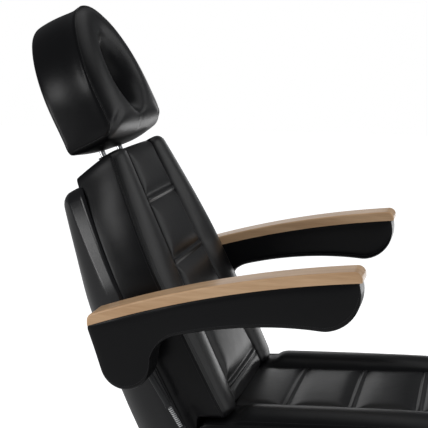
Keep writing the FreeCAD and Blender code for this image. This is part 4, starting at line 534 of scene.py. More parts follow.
def padded_section(name, section, start, end, half, panel, low, top, rise, channels, ends, limit, body, node,
                   slants=(0.0, 0.0), tuck=0.012, layers=LAYERS):
    """A cushion with bolsters, a panel and sewn channels; ends gives the run and drop of each end."""
    half, panel, low, rise, near_slant, far_slant = map(rule, (half, panel, low, rise, *slants))
    marks = [place + side * CHANNEL_GAP for place in channels for side in (-1, 0, 1)]
    us = grid_lines(-1, 1, ACROSS_STEP, (-PANEL_SHARE, PANEL_SHARE), ACROSS_HUG)
    us = sorted(us + [-1 + ACROSS_HUG, 1 - ACROSS_HUG])
    vs = grid_lines(start, end, ALONG_STEP, marks, CHANNEL_WIDE)

    def surface_height(across, x, u):
        """Height of the sewn surface above the section's frame."""
        edge, inner = half(x), panel(x)
        if abs(u) <= PANEL_SHARE:
            height = top + PANEL_CROWN * (1 - (across / inner) ** 2)
            fade = 1 - min(1.0, abs(across) / inner) ** 10
            for place in channels:
                away = abs(x - place)
                if away < 2 * CHANNEL_GAP:
                    height += CHANNEL_RIDGE * fade * eased(1 - away / CHANNEL_GAP)
                    height -= CHANNEL_DEPTH * max(0.0, 1 - abs(away - CHANNEL_GAP) / CHANNEL_WIDE)
        else:
            share = (abs(across) - inner) / (edge - inner)
            height = top + rise(x) * math.sin(math.pi * min(share, 1.0)) ** 0.75 - BOLSTER_FALL * share
        if abs(abs(u) - PANEL_SHARE) < 0.001:
            height -= SEAM_DEPTH
        return height

    def place(u, x, w):
        edge, inner = half(x) - LIGHT_SHRINK, panel(x)
        near_start, near_end = x - start, end - x
        round_off = end_round(near_start, *ends[0]) + end_round(near_end, *ends[1])
        edge -= round_off * END_NARROWING
        side = math.copysign(1, u)
        if abs(u) <= PANEL_SHARE:
            across = u / PANEL_SHARE * inner
        else:
            across = side * (inner + (abs(u) - PANEL_SHARE) / (1 - PANEL_SHARE) * (edge - inner))
        height = surface_height(across, x, u) - round_off - LIGHT_SHRINK
        rear = low(x)
        z = rear + (height - rear) * w
        squeeze = tuck * (1 - w) ** 2 * abs(across) / edge
        bulge = SIDE_BULGE * math.sin(math.pi * w) * max(0.0, (abs(u) - 0.9) / 0.1)
        across += side * (bulge - squeeze)
        shift = near_slant(z) * eased(1 - near_start / SLANT_REACH[0])
        shift += far_slant(z) * eased(1 - near_end / SLANT_REACH[1])
        return section.world(x + shift, across, z)

    mesh, index = block_mesh(name, us, vs, layers, place)
    piece = show(name, mesh, leatherette)
    pinned = set()
    for (i, j, k), number in index.items():
        u, x = us[i], vs[j]
        sewn_edge = abs(u) > 0.999 or j in (0, len(vs) - 1)
        panel_seam = abs(abs(u) - PANEL_SHARE) < 0.001
        channel = abs(u) <= PANEL_SHARE and any(abs(x - mark) < 0.0005 for mark in marks)
        if k == 0 or (k == len(layers) - 1 and (sewn_edge or panel_seam or channel)):
            pinned.add(number)
    puff(piece, pinned, limit)
    cover(piece, node, body)
    print(name, len(mesh.vertices), "vertices,", len(channels), "channels")
    return piece


# %% Seat
SEAT_HALF, SEAT_PANEL, SEAT_LOW, SEAT_TOP, SEAT_SWELL = 0.285, 0.155, 0.035, 0.100, 0.0055
SEAT_RISE = [(0, 0.002), (0.078, 0.004), (0.100, 0.0245), (0.3, 0.0235), (0.45, 0.0205), (0.56, 0.016),
             (0.605, 0.009)]
SEAT_CHANNELS = [0.174, 0.326, 0.478]


def seat_rise(x):
    return from_table(SEAT_RISE, x, 0.012)


seat_cushion = padded_section(
    "seat_upholstery", seat, -0.004, 0.605, SEAT_HALF, SEAT_PANEL, SEAT_LOW, SEAT_TOP, seat_rise,
    SEAT_CHANNELS, ((0.03, 0.018), (0.03, 0.020)), SEAT_SWELL, "seat_unit", "seat_cushion")

# %% Leg section and footrest
LEG_DROP, LEG_RISE, LEG_END, FOOT_END = 0.005, 0.0145, (0.03, 0.020), (0.045, 0.030)
LEG_SIZES = (SEAT_HALF, SEAT_PANEL, SEAT_LOW - LEG_DROP, SEAT_TOP - LEG_DROP, LEG_RISE)
leg_cushion = padded_section("leg_upholstery", legs, -0.007, 0.331, *LEG_SIZES, [0.158], (LEG_END, LEG_END),
                             SEAT_SWELL, "leg_section", "leg_cushion")
foot_cushion = padded_section("foot_upholstery", legs, 0.337, 0.467, *LEG_SIZES, [], (LEG_END, FOOT_END),
                              SEAT_SWELL, "footrest", "foot_cushion")

# %% [markdown]
# The backrest is the same idea, but its sides taper to the shoulders, its panel narrows with
# them and its lower end is cut at a slant, so that it clears the seat while it reclines.

# %% Backrest
BACK_HALF = [(0.040, 0.266), (0.135, 0.278), (0.300, 0.286), (0.440, 0.286), (0.532, 0.268), (0.630, 0.240),
             (0.690, 0.219), (0.722, 0.204)]
BACK_TOP_PLACE, BACK_LOW_PLACE, BACK_RISE, BACK_SWELL = 0.722, 0.0725, 0.0115, 0.006
BACK_CHANNELS = [-0.585, -0.428, -0.115]
PANEL_LOW, PANEL_HIGH = (0.115, 0.155), (0.715, 0.101)
CLEAR_OF_SEAT, CLEAR_OF_PIN, TONGUE_END, TONGUE_HEIGHT = 0.1065, 0.0055, 0.050, 0.038
RECLINE_SWING, TOP_LEAN = math.radians(66.67), 0.022
BACK_LAYERS = [0, 0.07, 0.14, 0.22, 0.30, 0.38, 0.5, 0.64, 0.78, 0.9, 0.965, 1]


def back_half(x):
    return from_table(BACK_HALF, -x)


def back_panel(x):
    (low, wide), (high, narrow) = PANEL_LOW, PANEL_HIGH
    return wide + (narrow - wide) * (-x - low) / (high - low)


def low_slant(height):
    """How far the lower end is shifted at a height: clear of the seat in front, a short tongue behind."""
    low = (CLEAR_OF_SEAT - height * math.cos(RECLINE_SWING)) / math.sin(RECLINE_SWING)
    if height < TONGUE_HEIGHT:
        tongue = (height * math.sin(RECLINE_SWING) + CLEAR_OF_PIN) / math.cos(RECLINE_SWING)
        low = min(low, tongue)
    return BACK_LOW_PLACE - max(low, TONGUE_END)


def top_slant(height):
    """The upper end leans forward a little."""
    return TOP_LEAN * (1 - height / SEAT_TOP)


def back_rear(x):
    """The padding's rear edge; above the shell it comes a little further back."""
    return 0.003 - 0.010 * eased((-x - 0.655) / 0.04)


back_cushion = padded_section(
    "back_upholstery", back, -BACK_TOP_PLACE, -BACK_LOW_PLACE, back_half, back_panel, back_rear, SEAT_TOP,
    BACK_RISE, BACK_CHANNELS, ((0.014, 0.009), (0.006, 0.003)), BACK_SWELL, "backrest", "back_cushion",
    slants=(top_slant, low_slant), tuck=0.003, layers=BACK_LAYERS)

# %% [markdown]
# ## Rear shell
#
# The moulding behind the backrest is drawn as a grid: every row is a cross-section with a narrow
# side facet, a sloping shoulder and a flat rear. Its depth grows from the shoulders to the seat,
# and the last rows turn over into the upper end. Solidify gives the grid its wall, and two round
# holes let the armrest spindles out.

# %% Rear shell
SHELL_DEPTH = [(0.05, 0.138), (0.20, 0.130), (0.41, 0.111), (0.54, 0.094), (0.613, 0.083), (0.66, 0.074),
               (0.70, 0.068)]
SHELL_LOW, SHELL_TURN, SHELL_TOP, SHELL_WALL = 0.060, 0.652, 0.678, 0.0035
FACET_LOW, FACET_HIGH, FACET_IN, SHOULDER, SHOULDER_BOW = 0.030, 0.040, 0.009, 0.078, 0.010
SHELL_LIP, SHELL_INSET, SHELL_CROWN, BOW_OUT, BOW_BACK = 0.004, 0.003, 0.003, 0.55, 0.83
FACET_SHARES = [0, 0.3, 0.6, 0.92]
SPINDLE_PASS, DRILL_LENGTH = 0.0145, 0.9
TURN_SHALLOW, TURN_NARROW = 0.30, 0.012


def shell_half_section(up, depth_share, narrowing):
    """Points (side, height) from the front edge round to the middle of the rear face."""
    half = back_half(-up) - SHELL_INSET - narrowing
    facet = FACET_LOW + (FACET_HIGH - FACET_LOW) * eased((up - 0.42) / 0.24)
    deep = from_table(SHELL_DEPTH, up)
    flat = half - SHOULDER
    section = [(half - FACET_IN * share, SHELL_LIP - (facet + SHELL_LIP) * share) for share in FACET_SHARES]
    for share in spread(0, 1, 10):
        bow = SHOULDER_BOW * math.sin(math.pi * share)
        side = half - FACET_IN + (flat - half + FACET_IN) * share + bow * BOW_OUT
        section.append((side, -facet - (deep - facet) * share - bow * BOW_BACK))
    section += [(flat * share, -deep - SHELL_CROWN * (1 - share * share)) for share in (0.75, 0.5, 0.25, 0.0)]
    return [(side, height * depth_share) for side, height in section]


def grid_faces(rows, row_size, closed=False):
    """The four-cornered faces between the rows of a grid, which may close round in both ways."""
    faces = []
    for row in range(rows if closed else rows - 1):
        for column in range(row_size if closed else row_size - 1):
            near, far = row * row_size, (row + 1) % rows * row_size
            beside = (column + 1) % row_size
            corners = ((near, column), (far, column), (far, beside), (near, beside))
            faces.append([first + number for first, number in corners])
    return faces


shell_rows = [(up, 1.0, 0.0) for up in spread(SHELL_LOW, SHELL_TURN, 44)]
for angle in spread(0, math.pi / 2, 6)[1:]:
    turned = 1 - math.cos(angle)
    up = SHELL_TURN + (SHELL_TOP - SHELL_TURN) * math.sin(angle)
    shell_rows.append((up, 1 - TURN_SHALLOW * turned, TURN_NARROW * turned))
shell_rows += [(SHELL_TOP + 0.0006, share, 0.013) for share in (0.5, 0.25, 0.02)]
points = []
for up, depth_share, narrowing in shell_rows:
    section = shell_half_section(up, depth_share, narrowing)
    points += [back.world(-up, -side, height) for side, height in section]
    points += [back.world(-up, side, height) for side, height in section[-2::-1]]
shell_mesh = mesh_of("rear_shell_grid", points, grid_faces(len(shell_rows), len(points) // len(shell_rows)))
centre = back.world(-0.35, 0, 0)
outward = sum((face.center - centre).dot(face.normal) for face in shell_mesh.polygons)
if outward < 0:
    shell_mesh.flip_normals()
print("rear shell grid", len(shell_rows), "rows")

# %% Wall and spindle holes
grid_piece = show("rear_shell_grid", shell_mesh, shell_plastic)
wall = grid_piece.modifiers.new("Wall", "SOLIDIFY")
wall.thickness, wall.offset = SHELL_WALL, -1
wall.use_even_offset = True
drill_mesh = bpy.data.meshes.new("spindle_drill")
drill = bmesh.new()
across_couch = Matrix.Translation(arm_pivot) @ Matrix.Rotation(math.pi / 2, 4, "X")
bmesh.ops.create_cone(drill, cap_ends=True, segments=40, radius1=SPINDLE_PASS, radius2=SPINDLE_PASS,
                      depth=DRILL_LENGTH, matrix=across_couch)
drill.to_mesh(drill_mesh)
drill.free()
drill_piece = show("spindle_drill", drill_mesh, shell_plastic)
bore = grid_piece.modifiers.new("Spindle holes", "BOOLEAN")
bore.operation, bore.object, bore.solver = "DIFFERENCE", drill_piece, "EXACT"
rear_shell = show("rear_shell", finished_mesh(grid_piece), shell_plastic)
bpy.data.objects.remove(grid_piece)
bpy.data.objects.remove(drill_piece)
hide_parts("back_shell")
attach(rear_shell, "backrest")
print("rear shell", len(rear_shell.data.polygons), "faces")

# %% [markdown]
# ## Headrest
#
# The headrest is a thick ring: round its breathing hole, over the face, down the side and back
# along the board. So its grid is a profile swept round the hole. The outer outline and the hole
# are both sampled by their share of the way round, which keeps the lines between them short.

# %% Outlines
def arc_points(first, middle, last, count):
    """Points on the circle through three points, first included and last left out."""
    (ax, ay), (bx, by), (cx, cy) = first, middle, last
    a_far, b_far, c_far = [x * x + y * y for x, y in (first, middle, last)]
    d = 2 * (ax * (by - cy) + bx * (cy - ay) + cx * (ay - by))
    ux = (a_far * (by - cy) + b_far * (cy - ay) + c_far * (ay - by)) / d
    uy = (a_far * (cx - bx) + b_far * (ax - cx) + c_far * (bx - ax)) / d
    start, stop = [math.atan2(y - uy, x - ux) for x, y in (first, last)]
    turn = math.tau if (by - ay) * (cx - bx) < (bx - ax) * (cy - by) else -math.tau
    sweep = (stop - start) % turn
    radius = math.hypot(ax - ux, ay - uy)
    angles = [start + sweep * i / count for i in range(count)]
    return [(ux + radius * math.cos(angle), uy + radius * math.sin(angle)) for angle in angles]


def resample(points, count):
    """The same closed outline as evenly spaced points, from its first one on."""
    ring = points + points[:1]
    lengths = [math.dist(a, b) for a, b in zip(ring, ring[1:])]
    total, even_points, passed, number = sum(lengths), [], 0.0, 0
    for i in range(count):
        wanted = total * i / count
        while passed + lengths[number] < wanted:
            passed += lengths[number]
            number += 1
        share = (wanted - passed) / lengths[number]
        a, b = ring[number], ring[number + 1]
        even_points.append((a[0] + (b[0] - a[0]) * share, a[1] + (b[1] - a[1]) * share))
    return even_points


HEAD_LOW, HEAD_HIGH, HEAD_HALF, HEAD_CORNER, HEAD_COUNT = 0.751, 0.321, 0.202, 0.016, 168
HOLE_UP, HOLE_HALF, HOLE_REACH, HOLE_FLARE = 0.137, 0.022, 0.062, 0.6
corner_bow = HEAD_CORNER * (1 - math.sqrt(0.5))
CORNER = ((0, HEAD_HALF - HEAD_CORNER), (corner_bow, HEAD_HALF - corner_bow), (HEAD_CORNER, HEAD_HALF))
half_ring = [(0.0, 0.0)] + arc_points(*CORNER, 8) + [CORNER[2]]
half_ring += arc_points((0.091, 0.202), (0.195, 0.181), (0.276, 0.123), 24)
half_ring += arc_points((0.276, 0.123), (0.3098, 0.065), (HEAD_HIGH, 0.0), 16)
outer = half_ring + [(HEAD_HIGH, 0.0)] + [(a, -y) for a, y in reversed(half_ring[1:])]
outer_ring = resample(outer, HEAD_COUNT)
hole = [(HOLE_UP - HOLE_REACH * math.cos(math.tau * i / 240), HOLE_HALF * math.sin(math.tau * i / 240))
        for i in range(240)]
hole_ring = resample(hole, HEAD_COUNT)
print("headrest outline", HEAD_COUNT, "points, hole", len(hole_ring))

# %% [markdown]
# The profile starts at the rear of the hole, climbs its wall, rolls over the soft rim, crosses the
# domed face to the seam and goes down the side to the rear. At the low end there is no seam: the
# face rolls over with a large radius and the end bulges, so the profile is blended into another.

# %% Headrest profile and mesh
HEAD_SEAM, HEAD_FACE, HOLE_WALL, HEAD_SWELL = 0.118, 0.1456, 0.038, 0.005
END_RUN, END_BULGE, END_IN, BULGE_HEIGHT = 0.052, 0.017, 0.004, 0.052
WALL_STEPS, REAR_STEPS, HEAD_MIDDLE = 7, 7, 0.16
HOLE_RIM = [(0.0, 0.045), (0.008, 0.085), (0.018, 0.105), (0.028, 0.117), (0.038, 0.1255), (0.048, 0.1315),
            (0.058, 0.1360), (0.068, 0.1395), (0.078, 0.1420), (0.093, 0.1445), (0.108, HEAD_FACE)]
RIM_HASTE, ROLL_BLEND, END_BLEND = 0.5, 0.020, 0.032
CROWN = [(0.44, HEAD_FACE), (0.53, 0.1445), (0.62, 0.1427), (0.71, 0.1402), (0.79, 0.1369), (0.86, 0.1330),
         (0.92, 0.1285), (0.965, 0.1240), (1.0, HEAD_SEAM)]
FACE_SHARES = [0, 0.01, 0.02, 0.035, 0.05, 0.07, 0.09, 0.115, 0.14, 0.17, 0.2, 0.235, 0.27, 0.31, 0.35,
               0.39, 0.44, 0.485, 0.53, 0.575, 0.62, 0.665, 0.71, 0.75, 0.79, 0.825, 0.86, 0.89, 0.92,
               0.95, 0.975, 1]
END_SQUASH = 0.12
SIDE_WAY = [(0.0039, 0.108), (0.0034, 0.092), (0.0013, 0.072), (0.0, 0.052), (0.0, 0.034), (0.0005, 0.018),
            (0.0020, 0.006), (0.0060, 0.0)]
# Profile rows: kind, share of the way from hole to outline or inset from the outline, height
HEAD_PROFILE = (
    [("wall", 0.0, height) for height in spread(0.0, HOLE_WALL, WALL_STEPS)]
    + [("face", share, None) for share in FACE_SHARES]
    + [("side", inset, height) for inset, height in SIDE_WAY]
    + [("rear", share, 0.0) for share in spread(0.86, 0.12, REAR_STEPS)]
)
# The row that is sewn down, just inside the edge of the face
SEAM_NUMBER = WALL_STEPS + len(FACE_SHARES) - 1


def low_end_share(ox):
    """1 on the low end up to the middle of its corners, 0 a little way up the sides."""
    return eased((END_BLEND - ox) / (END_BLEND - corner_bow))


def soft_minimum(first, second, reach=0.006):
    """The lower of two heights, with the bend between them rounded."""
    overlap = max(reach - abs(first - second), 0.0) / reach
    return min(first, second) - overlap * overlap * reach / 4


def end_reach(height):
    """How far the low end stands out at a height: an ellipse above its bulge and another below."""
    if height > BULGE_HEIGHT:
        tall, run = HEAD_FACE - BULGE_HEIGHT, END_RUN + END_BULGE
    else:
        tall, run = BULGE_HEIGHT, END_IN + END_BULGE
    share = min(1.0, abs(height - BULGE_HEIGHT) / tall)
    return END_BULGE - run * (1 - math.sqrt(1 - share * share))


def face_height(value, low_end, from_rim, along, aside):
    """The face rises from the hole to the crown, falls to the seam and rolls over at the low end."""
    outward = value * (1 - low_end) + abs(aside) / HEAD_HALF * low_end
    crown = soft_minimum(from_table(HOLE_RIM, from_rim, 0.006), from_table(CROWN, outward), 0.003)
    share = min(1.0, max(0.0, END_RUN - along) / (END_RUN + END_BULGE))
    rolled = BULGE_HEIGHT + (HEAD_FACE - BULGE_HEIGHT) * math.sqrt(1 - share * share)
    return soft_minimum(crown, rolled + 0.001 + ROLL_BLEND / 8, ROLL_BLEND)


END_OUT = end_reach(SIDE_WAY[0][1] * (1 - END_SQUASH) + 0.0025)


def head_point(i, number):
    """A point of the headrest, from its number round the hole and its row of the profile."""
    kind, value, height = HEAD_PROFILE[number]
    (ox, oy), (hx, hy) = outer_ring[i], hole_ring[i]
    low_end = low_end_share(ox)
    across = 1 - min(1.0, abs(oy) / HEAD_HALF) ** 4
    if kind == "side":
        height *= 1 - END_SQUASH * low_end
        inset = value * (1 - low_end)
        away = math.dist((ox, oy), (HEAD_MIDDLE, 0.0))
        x, y = ox + (HEAD_MIDDLE - ox) * inset / away, oy - oy * inset / away
        x -= low_end * end_reach(height) * across
    elif kind == "wall":
        flare = 1 + HOLE_FLARE * (1 - height / HOLE_WALL) ** 2
        x, y = HOLE_UP + (hx - HOLE_UP) * flare, hy * flare
    else:
        x, y = hx + (ox - hx) * value, hy + (oy - hy) * value
        out = low_end * END_OUT * eased((value - 0.6) / 0.4)
        if kind == "face":
            from_rim = math.dist((x, y), (hx, hy)) * (1 + RIM_HASTE * eased((HOLE_UP - hx) / HOLE_REACH))
            height = face_height(value, low_end, from_rim, x - out - ox * low_end, y)
        x -= out * across
    return back.world(-(HEAD_LOW + x), y, height)


points = [head_point(i, number) for i in range(HEAD_COUNT) for number in range(len(HEAD_PROFILE))]
ring_size = len(HEAD_PROFILE)
head_mesh = mesh_of("headrest_upholstery", points, grid_faces(HEAD_COUNT, ring_size, closed=True))
headrest = show("headrest_upholstery", head_mesh, leatherette)
SEWN_HEIGHT = 0.018
sewn = set()
for i in range(HEAD_COUNT):
    for j, (kind, _share, height) in enumerate(HEAD_PROFILE):
        on_board = kind != "face" and height <= SEWN_HEIGHT
        if on_board or (j == SEAM_NUMBER and low_end_share(outer_ring[i][0]) < 0.9):
            sewn.add(i * ring_size + j)
puff(headrest, sewn, HEAD_SWELL)
cover(headrest, "headrest_cushion", "headrest")
print("headrest", len(head_mesh.vertices), "vertices")

# %% [markdown]
# ## Armrest pads
#
# A pad hangs under each wooden cap: deep round the pivot, slim in the middle and deep again at
# the hand. It is a ladder between two curves, the cap's underside and the pad's belly. The rungs
# become rounded rectangles. Only the left pad is made; the right one is its mirror image.

# %% The two curves
CAP_ARC = ((-0.0640, 0.0983), (0.2285, 0.1797), (0.5125, 0.2219))
CAP_STEPS = 1000
# A stretch of the belly: its points, with None for a straight one, its shares of the cap's arc, rungs
BELLY = (
    ((-0.0655, 0.0872), None, (-0.0395, 0.0022), 0.0, 0.10, 10),
    ((-0.0395, 0.0022), (0.0145, -0.0418), (0.0705, 0.0222), 0.10, 0.27, 18),
    ((0.0705, 0.0222), (0.0890, 0.0600), (0.1295, 0.0845), 0.27, 0.37, 10),
    ((0.1295, 0.0845), (0.2845, 0.1115), (0.4425, 0.1135), 0.37, 0.88, 30),
    ((0.4425, 0.1135), (0.4985, 0.1420), (0.5170, 0.1992), 0.88, 1.0, 14),
)
cap_line = arc_points(*CAP_ARC, CAP_STEPS)
rungs = []
for first, middle, last, share_a, share_b, count in BELLY:
    shares = spread(0, 1, count)[:-1]
    if middle:
        low_points = arc_points(first, middle, last, count)
    else:
        low_points = [[a + (b - a) * share for a, b in zip(first, last)] for share in shares]
    for share, low_point in zip(shares, low_points):
        number = round(CAP_STEPS * (share_a + (share_b - share_a) * share))
        rungs.append((cap_line[min(CAP_STEPS - 1, number)], low_point))
rungs.append((CAP_ARC[2], BELLY[-1][2]))
print("armrest pad:", len(rungs), "rungs")

# %% Armrest pads
ARM_MIDDLE, ARM_HALF, ARM_ROUND, ARM_SHRINK = 0.370, 0.0375, 0.0075, 0.0008
ARM_SWELL, ARM_PRESSURE = 0.0025, 2.0


def arm_place(u, v, w):
    """A point of the pad: u across it, v the number of its rung and w up from the belly to the cap."""
    high, low_point = rungs[round(v)]
    x = low_point[0] + (high[0] - low_point[0]) * w
    z = low_point[1] + (high[1] - low_point[1]) * w
    inset = end_round(w * math.dist(high, low_point), ARM_ROUND * 1.6, ARM_ROUND)
    return arm.world(x, ARM_MIDDLE + u * (ARM_HALF - ARM_SHRINK - inset), z)


arm_us = [-1, -0.94, -0.8, -0.5, -0.17, 0.17, 0.5, 0.8, 0.94, 1]
arm_ws = [0, 0.03, 0.07, 0.13, 0.22, 0.34, 0.48, 0.62, 0.76, 0.88, 1]
arm_mesh, arm_index = block_mesh("arm_pad", arm_us, list(range(len(rungs))), arm_ws, arm_place)
pinned = {number for (i, j, k), number in arm_index.items() if k == len(arm_ws) - 1}
left_pad = show("arm_pad_left_cover", arm_mesh, leatherette)
puff(left_pad, pinned, ARM_SWELL, ARM_PRESSURE)
right_mesh = arm_mesh.copy()
for vertex in right_mesh.vertices:
    vertex.co.y = -vertex.co.y
tidy_normals(right_mesh)
right_pad = show("arm_pad_right_cover", right_mesh, leatherette)
for piece, side in ((left_pad, "left"), (right_pad, "right")):
    cover(piece, f"arm_pad_{side}", f"armrest_{side}")
print("armrest pads", len(arm_mesh.vertices), "vertices each")

# %% [markdown]
# ## Piping and stitches
#
# A seam shows as a thin cord of piping or as rows of stitches. Both follow a path, so both are
# Geometry Nodes trees: one sweeps a circle along the path, the other puts a short thread every
# few millimetres. Paths are first laid on the finished cushion, which is searched for the
# nearest surface point, because the simulation has moved it.

# %% Trees for piping and stitches
def start_sewing(name, sizes):
    """A tree that cuts its path into even steps: the tree, its two ends and the stepped curve."""
    inputs = {"Geometry": "Geometry", "Step": 0.005, **sizes, "Material": "Material"}
    tree, start, end = start_tree(name, "GeometryNodeTree", inputs, {"Geometry": "Geometry"})
    path = result(tree, "GeometryNodeMeshToCurve", {"Mesh": start["Geometry"]})
    steps = {"Curve": path, "Length": start["Step"]}
    return tree, start, end, result(tree, "GeometryNodeResampleCurve", steps, mode="LENGTH")


def finish_sewing(tree, start, end, geometry):
    """Realizes instances, sets the material and closes the tree."""
    real = result(tree, "GeometryNodeRealizeInstances", {0: geometry})
    painted = result(tree, "GeometryNodeSetMaterial", {"Geometry": real, "Material": start["Material"]})
    tree.links.new(painted, end["Geometry"])
    return tree


def make_piping_tree():
    """A circle swept along the path."""
    tree, start, end, curve = start_sewing("piping", {"Radius": 0.002})
    ring = result(tree, "GeometryNodeCurvePrimitiveCircle", {"Resolution": 8, "Radius": start["Radius"]})
    sweep = {"Curve": curve, "Profile Curve": ring, "Fill Caps": True}
    cord = result(tree, "GeometryNodeCurveToMesh", sweep)
    return finish_sewing(tree, start, end, result(tree, "GeometryNodeSetShadeSmooth", {"Geometry": cord}))


def make_stitch_tree():
    """A short length of thread on every step of the path, turned along it."""
    tree, start, end, curve = start_sewing("stitches", {"Length": 0.0034, "Radius": 0.00045})
    round_rod = {"Vertices": 6, "Depth": start["Length"], "Radius": start["Radius"]}
    stitch = result(tree, "GeometryNodeMeshCylinder", round_rod)
    stitch = result(tree, "GeometryNodeSetShadeSmooth", {"Geometry": stitch})
    tangent = result(tree, "GeometryNodeInputTangent")
    turn = result(tree, "FunctionNodeAlignRotationToVector", {"Vector": tangent}, axis="Z")
    row = {"Points": curve, "Instance": stitch, "Rotation": turn}
    return finish_sewing(tree, start, end, result(tree, "GeometryNodeInstanceOnPoints", row))


PIPING, STITCHES = make_piping_tree(), make_stitch_tree()
print("geometry trees:", PIPING.name, STITCHES.name)


# %% Lay paths on a cushion and sew along them
SEAM_LIFT, PIPING_LIFT = 0.0002, 0.0006
HEAD_PIPING = {"Radius": 0.0021, "Step": 0.005}
WELT = {"Radius": 0.0016, "Step": 0.006}
STITCH = {"Step": 0.0048, "Length": 0.0034, "Radius": 0.0005}


def surface_of(piece):
    """A search tree of the piece's finished surface."""
    mesh = finished_mesh(piece)
    tree = BVHTree.FromPolygons([v.co for v in mesh.vertices], [p.vertices for p in mesh.polygons])
    bpy.data.meshes.remove(mesh)
    return tree


def laid(surface, points, lift=SEAM_LIFT):
    """The nearest places on a surface, lifted off it a little."""
    found = [surface.find_nearest(point) for point in points]
    return [hit[0] + hit[1] * lift for hit in found]


def sew(name, tree, sizes, paths, material, body):
    """Runs a tree over paths and keeps the result as a plain mesh that rides on a body."""
    points, edges = [], []
    for path in paths:
        edges += [(len(points) + i, len(points) + i + 1) for i in range(len(path) - 1)]
        points += [tuple(point) for point in path]
    wire = bpy.data.meshes.new(name + "_path")
    wire.from_pydata(points, edges, [])
    carrier = put(name + "_path", wire)
    modifier = carrier.modifiers.new("Sew", "NODES")
    modifier.node_group = tree
    keys = {item.name: item.identifier for item in tree.interface.items_tree if item.in_out == "INPUT"}
    for label, value in {**sizes, "Material": material}.items():
        modifier[keys[label]] = value
    piece = put(name, finished_mesh(carrier))
    bpy.data.objects.remove(carrier)
    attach(piece, body)
    print(name, len(piece.data.polygons), "faces")


# %% Piping of the headrest
corner_number = min(range(HEAD_COUNT // 2), key=lambda i: abs(outer_ring[i][0] - corner_bow))
side_down = [head_point(corner_number, SEAM_NUMBER + 1 + step) for step in range(len(SIDE_WAY) - 1)]
seam = side_down[::-1]
seam += [head_point(i, SEAM_NUMBER) for i in range(corner_number, HEAD_COUNT - corner_number + 1)]
seam += [Vector((point.x, -point.y, point.z)) for point in side_down]
seam = laid(surface_of(headrest), seam, PIPING_LIFT)
sew("headrest_piping", PIPING, HEAD_PIPING, [seam], leatherette, "headrest")

# %% Seams of the armrest pads
PAD_SEAM_IN, FIRST_RUNG = 0.012, 6
for piece, side, turn in ((left_pad, "left", 1), (right_pad, "right", -1)):
    surface = surface_of(piece)
    rows = []
    for face in (1, -1):
        line = []
        for number in range(FIRST_RUNG, len(rungs)):
            point = arm_place(face, number, PAD_SEAM_IN / math.dist(*rungs[number]))
            line.append(Vector((point.x, point.y * turn, point.z)))
        rows.append(laid(surface, line))
    sew(f"arm_pad_{side}_stitches", STITCHES, STITCH, rows, thread, f"armrest_{side}")


# %% Seams of the sections
WELT_OUT, PANEL_SEAM_OUT, PANEL_SEAM_IN = 0.2825, 0.1515, 0.0035


def sew_section(name, piece, section, stretch, body, welt, rows):
    """A welt and rows of stitches on both sides, each given as how far out it runs and how high."""
    surface = surface_of(piece)
    lines = []
    for out, height in [welt] + rows:
        for side in (1, -1):
            line = [section.world(x, side * rule(out)(x), height) for x in stretch]
            lines.append(laid(surface, line))
    sew(f"{name}_welt", PIPING, WELT, lines[:2], leatherette, body)
    sew(f"{name}_stitches", STITCHES, STITCH, lines[2:], thread, body)


def inside_edge(inward):
    """A rule for a line that keeps its distance from the backrest's tapering side."""
    return lambda x: back_half(x) - inward


def inside_panel(x):
    return back_panel(x) - PANEL_SEAM_IN


back_welt = (inside_edge(0.002), 0.0975)
back_rows = [(inside_edge(0.007), 0.106), (inside_edge(0.0135), 0.106), (inside_edge(0.001), 0.0905),
             (inside_panel, SEAT_TOP)]
sew_section("back", back_cushion, back, spread(-0.708, -0.078, 90), "backrest", back_welt, back_rows)
for name, piece, section, start, end, top, body in (
        ("seat", seat_cushion, seat, 0.012, 0.592, SEAT_TOP, "seat_unit"),
        ("leg", leg_cushion, legs, 0.008, 0.318, SEAT_TOP - LEG_DROP, "leg_section"),
        ("foot", foot_cushion, legs, 0.352, 0.445, SEAT_TOP - LEG_DROP, "footrest")):
    sew_section(name, piece, section, spread(start, end, 70), body, (WELT_OUT, top - 0.004), [
        (WELT_OUT - 0.0085, top + 0.002), (WELT_OUT - 0.0005, top - 0.012), (PANEL_SEAM_OUT, top)])

# %% [markdown]
# ## Studio
#
# The photograph is a plain product shot on white. The floor is pale and keeps the couch's
# shadow. The camera sees the world as white, but reflections see a dim world and a dim floor, so
# that black leatherette stays black. Eight soft lamps then draw the highlights on the cushions.

# %% Floor
FLOOR_REACH, FLOOR_BELOW = 12.0, 0.0005
FLOOR_GREY, GREY_MIRRORED, FLOOR_GLOW, GLOW_MIRRORED = 0.60, 0.12, 0.78, 0.30


def ray_kinds(tree):
    """A mask for rays straight from the camera and another for those in reflections and glass."""
    rays = add_node(tree, "ShaderNodeLightPath").outputs
    in_gloss = math_node(tree, "MAXIMUM", rays["Is Glossy Ray"], rays["Is Transmission Ray"])
    return rays["Is Camera Ray"], in_gloss


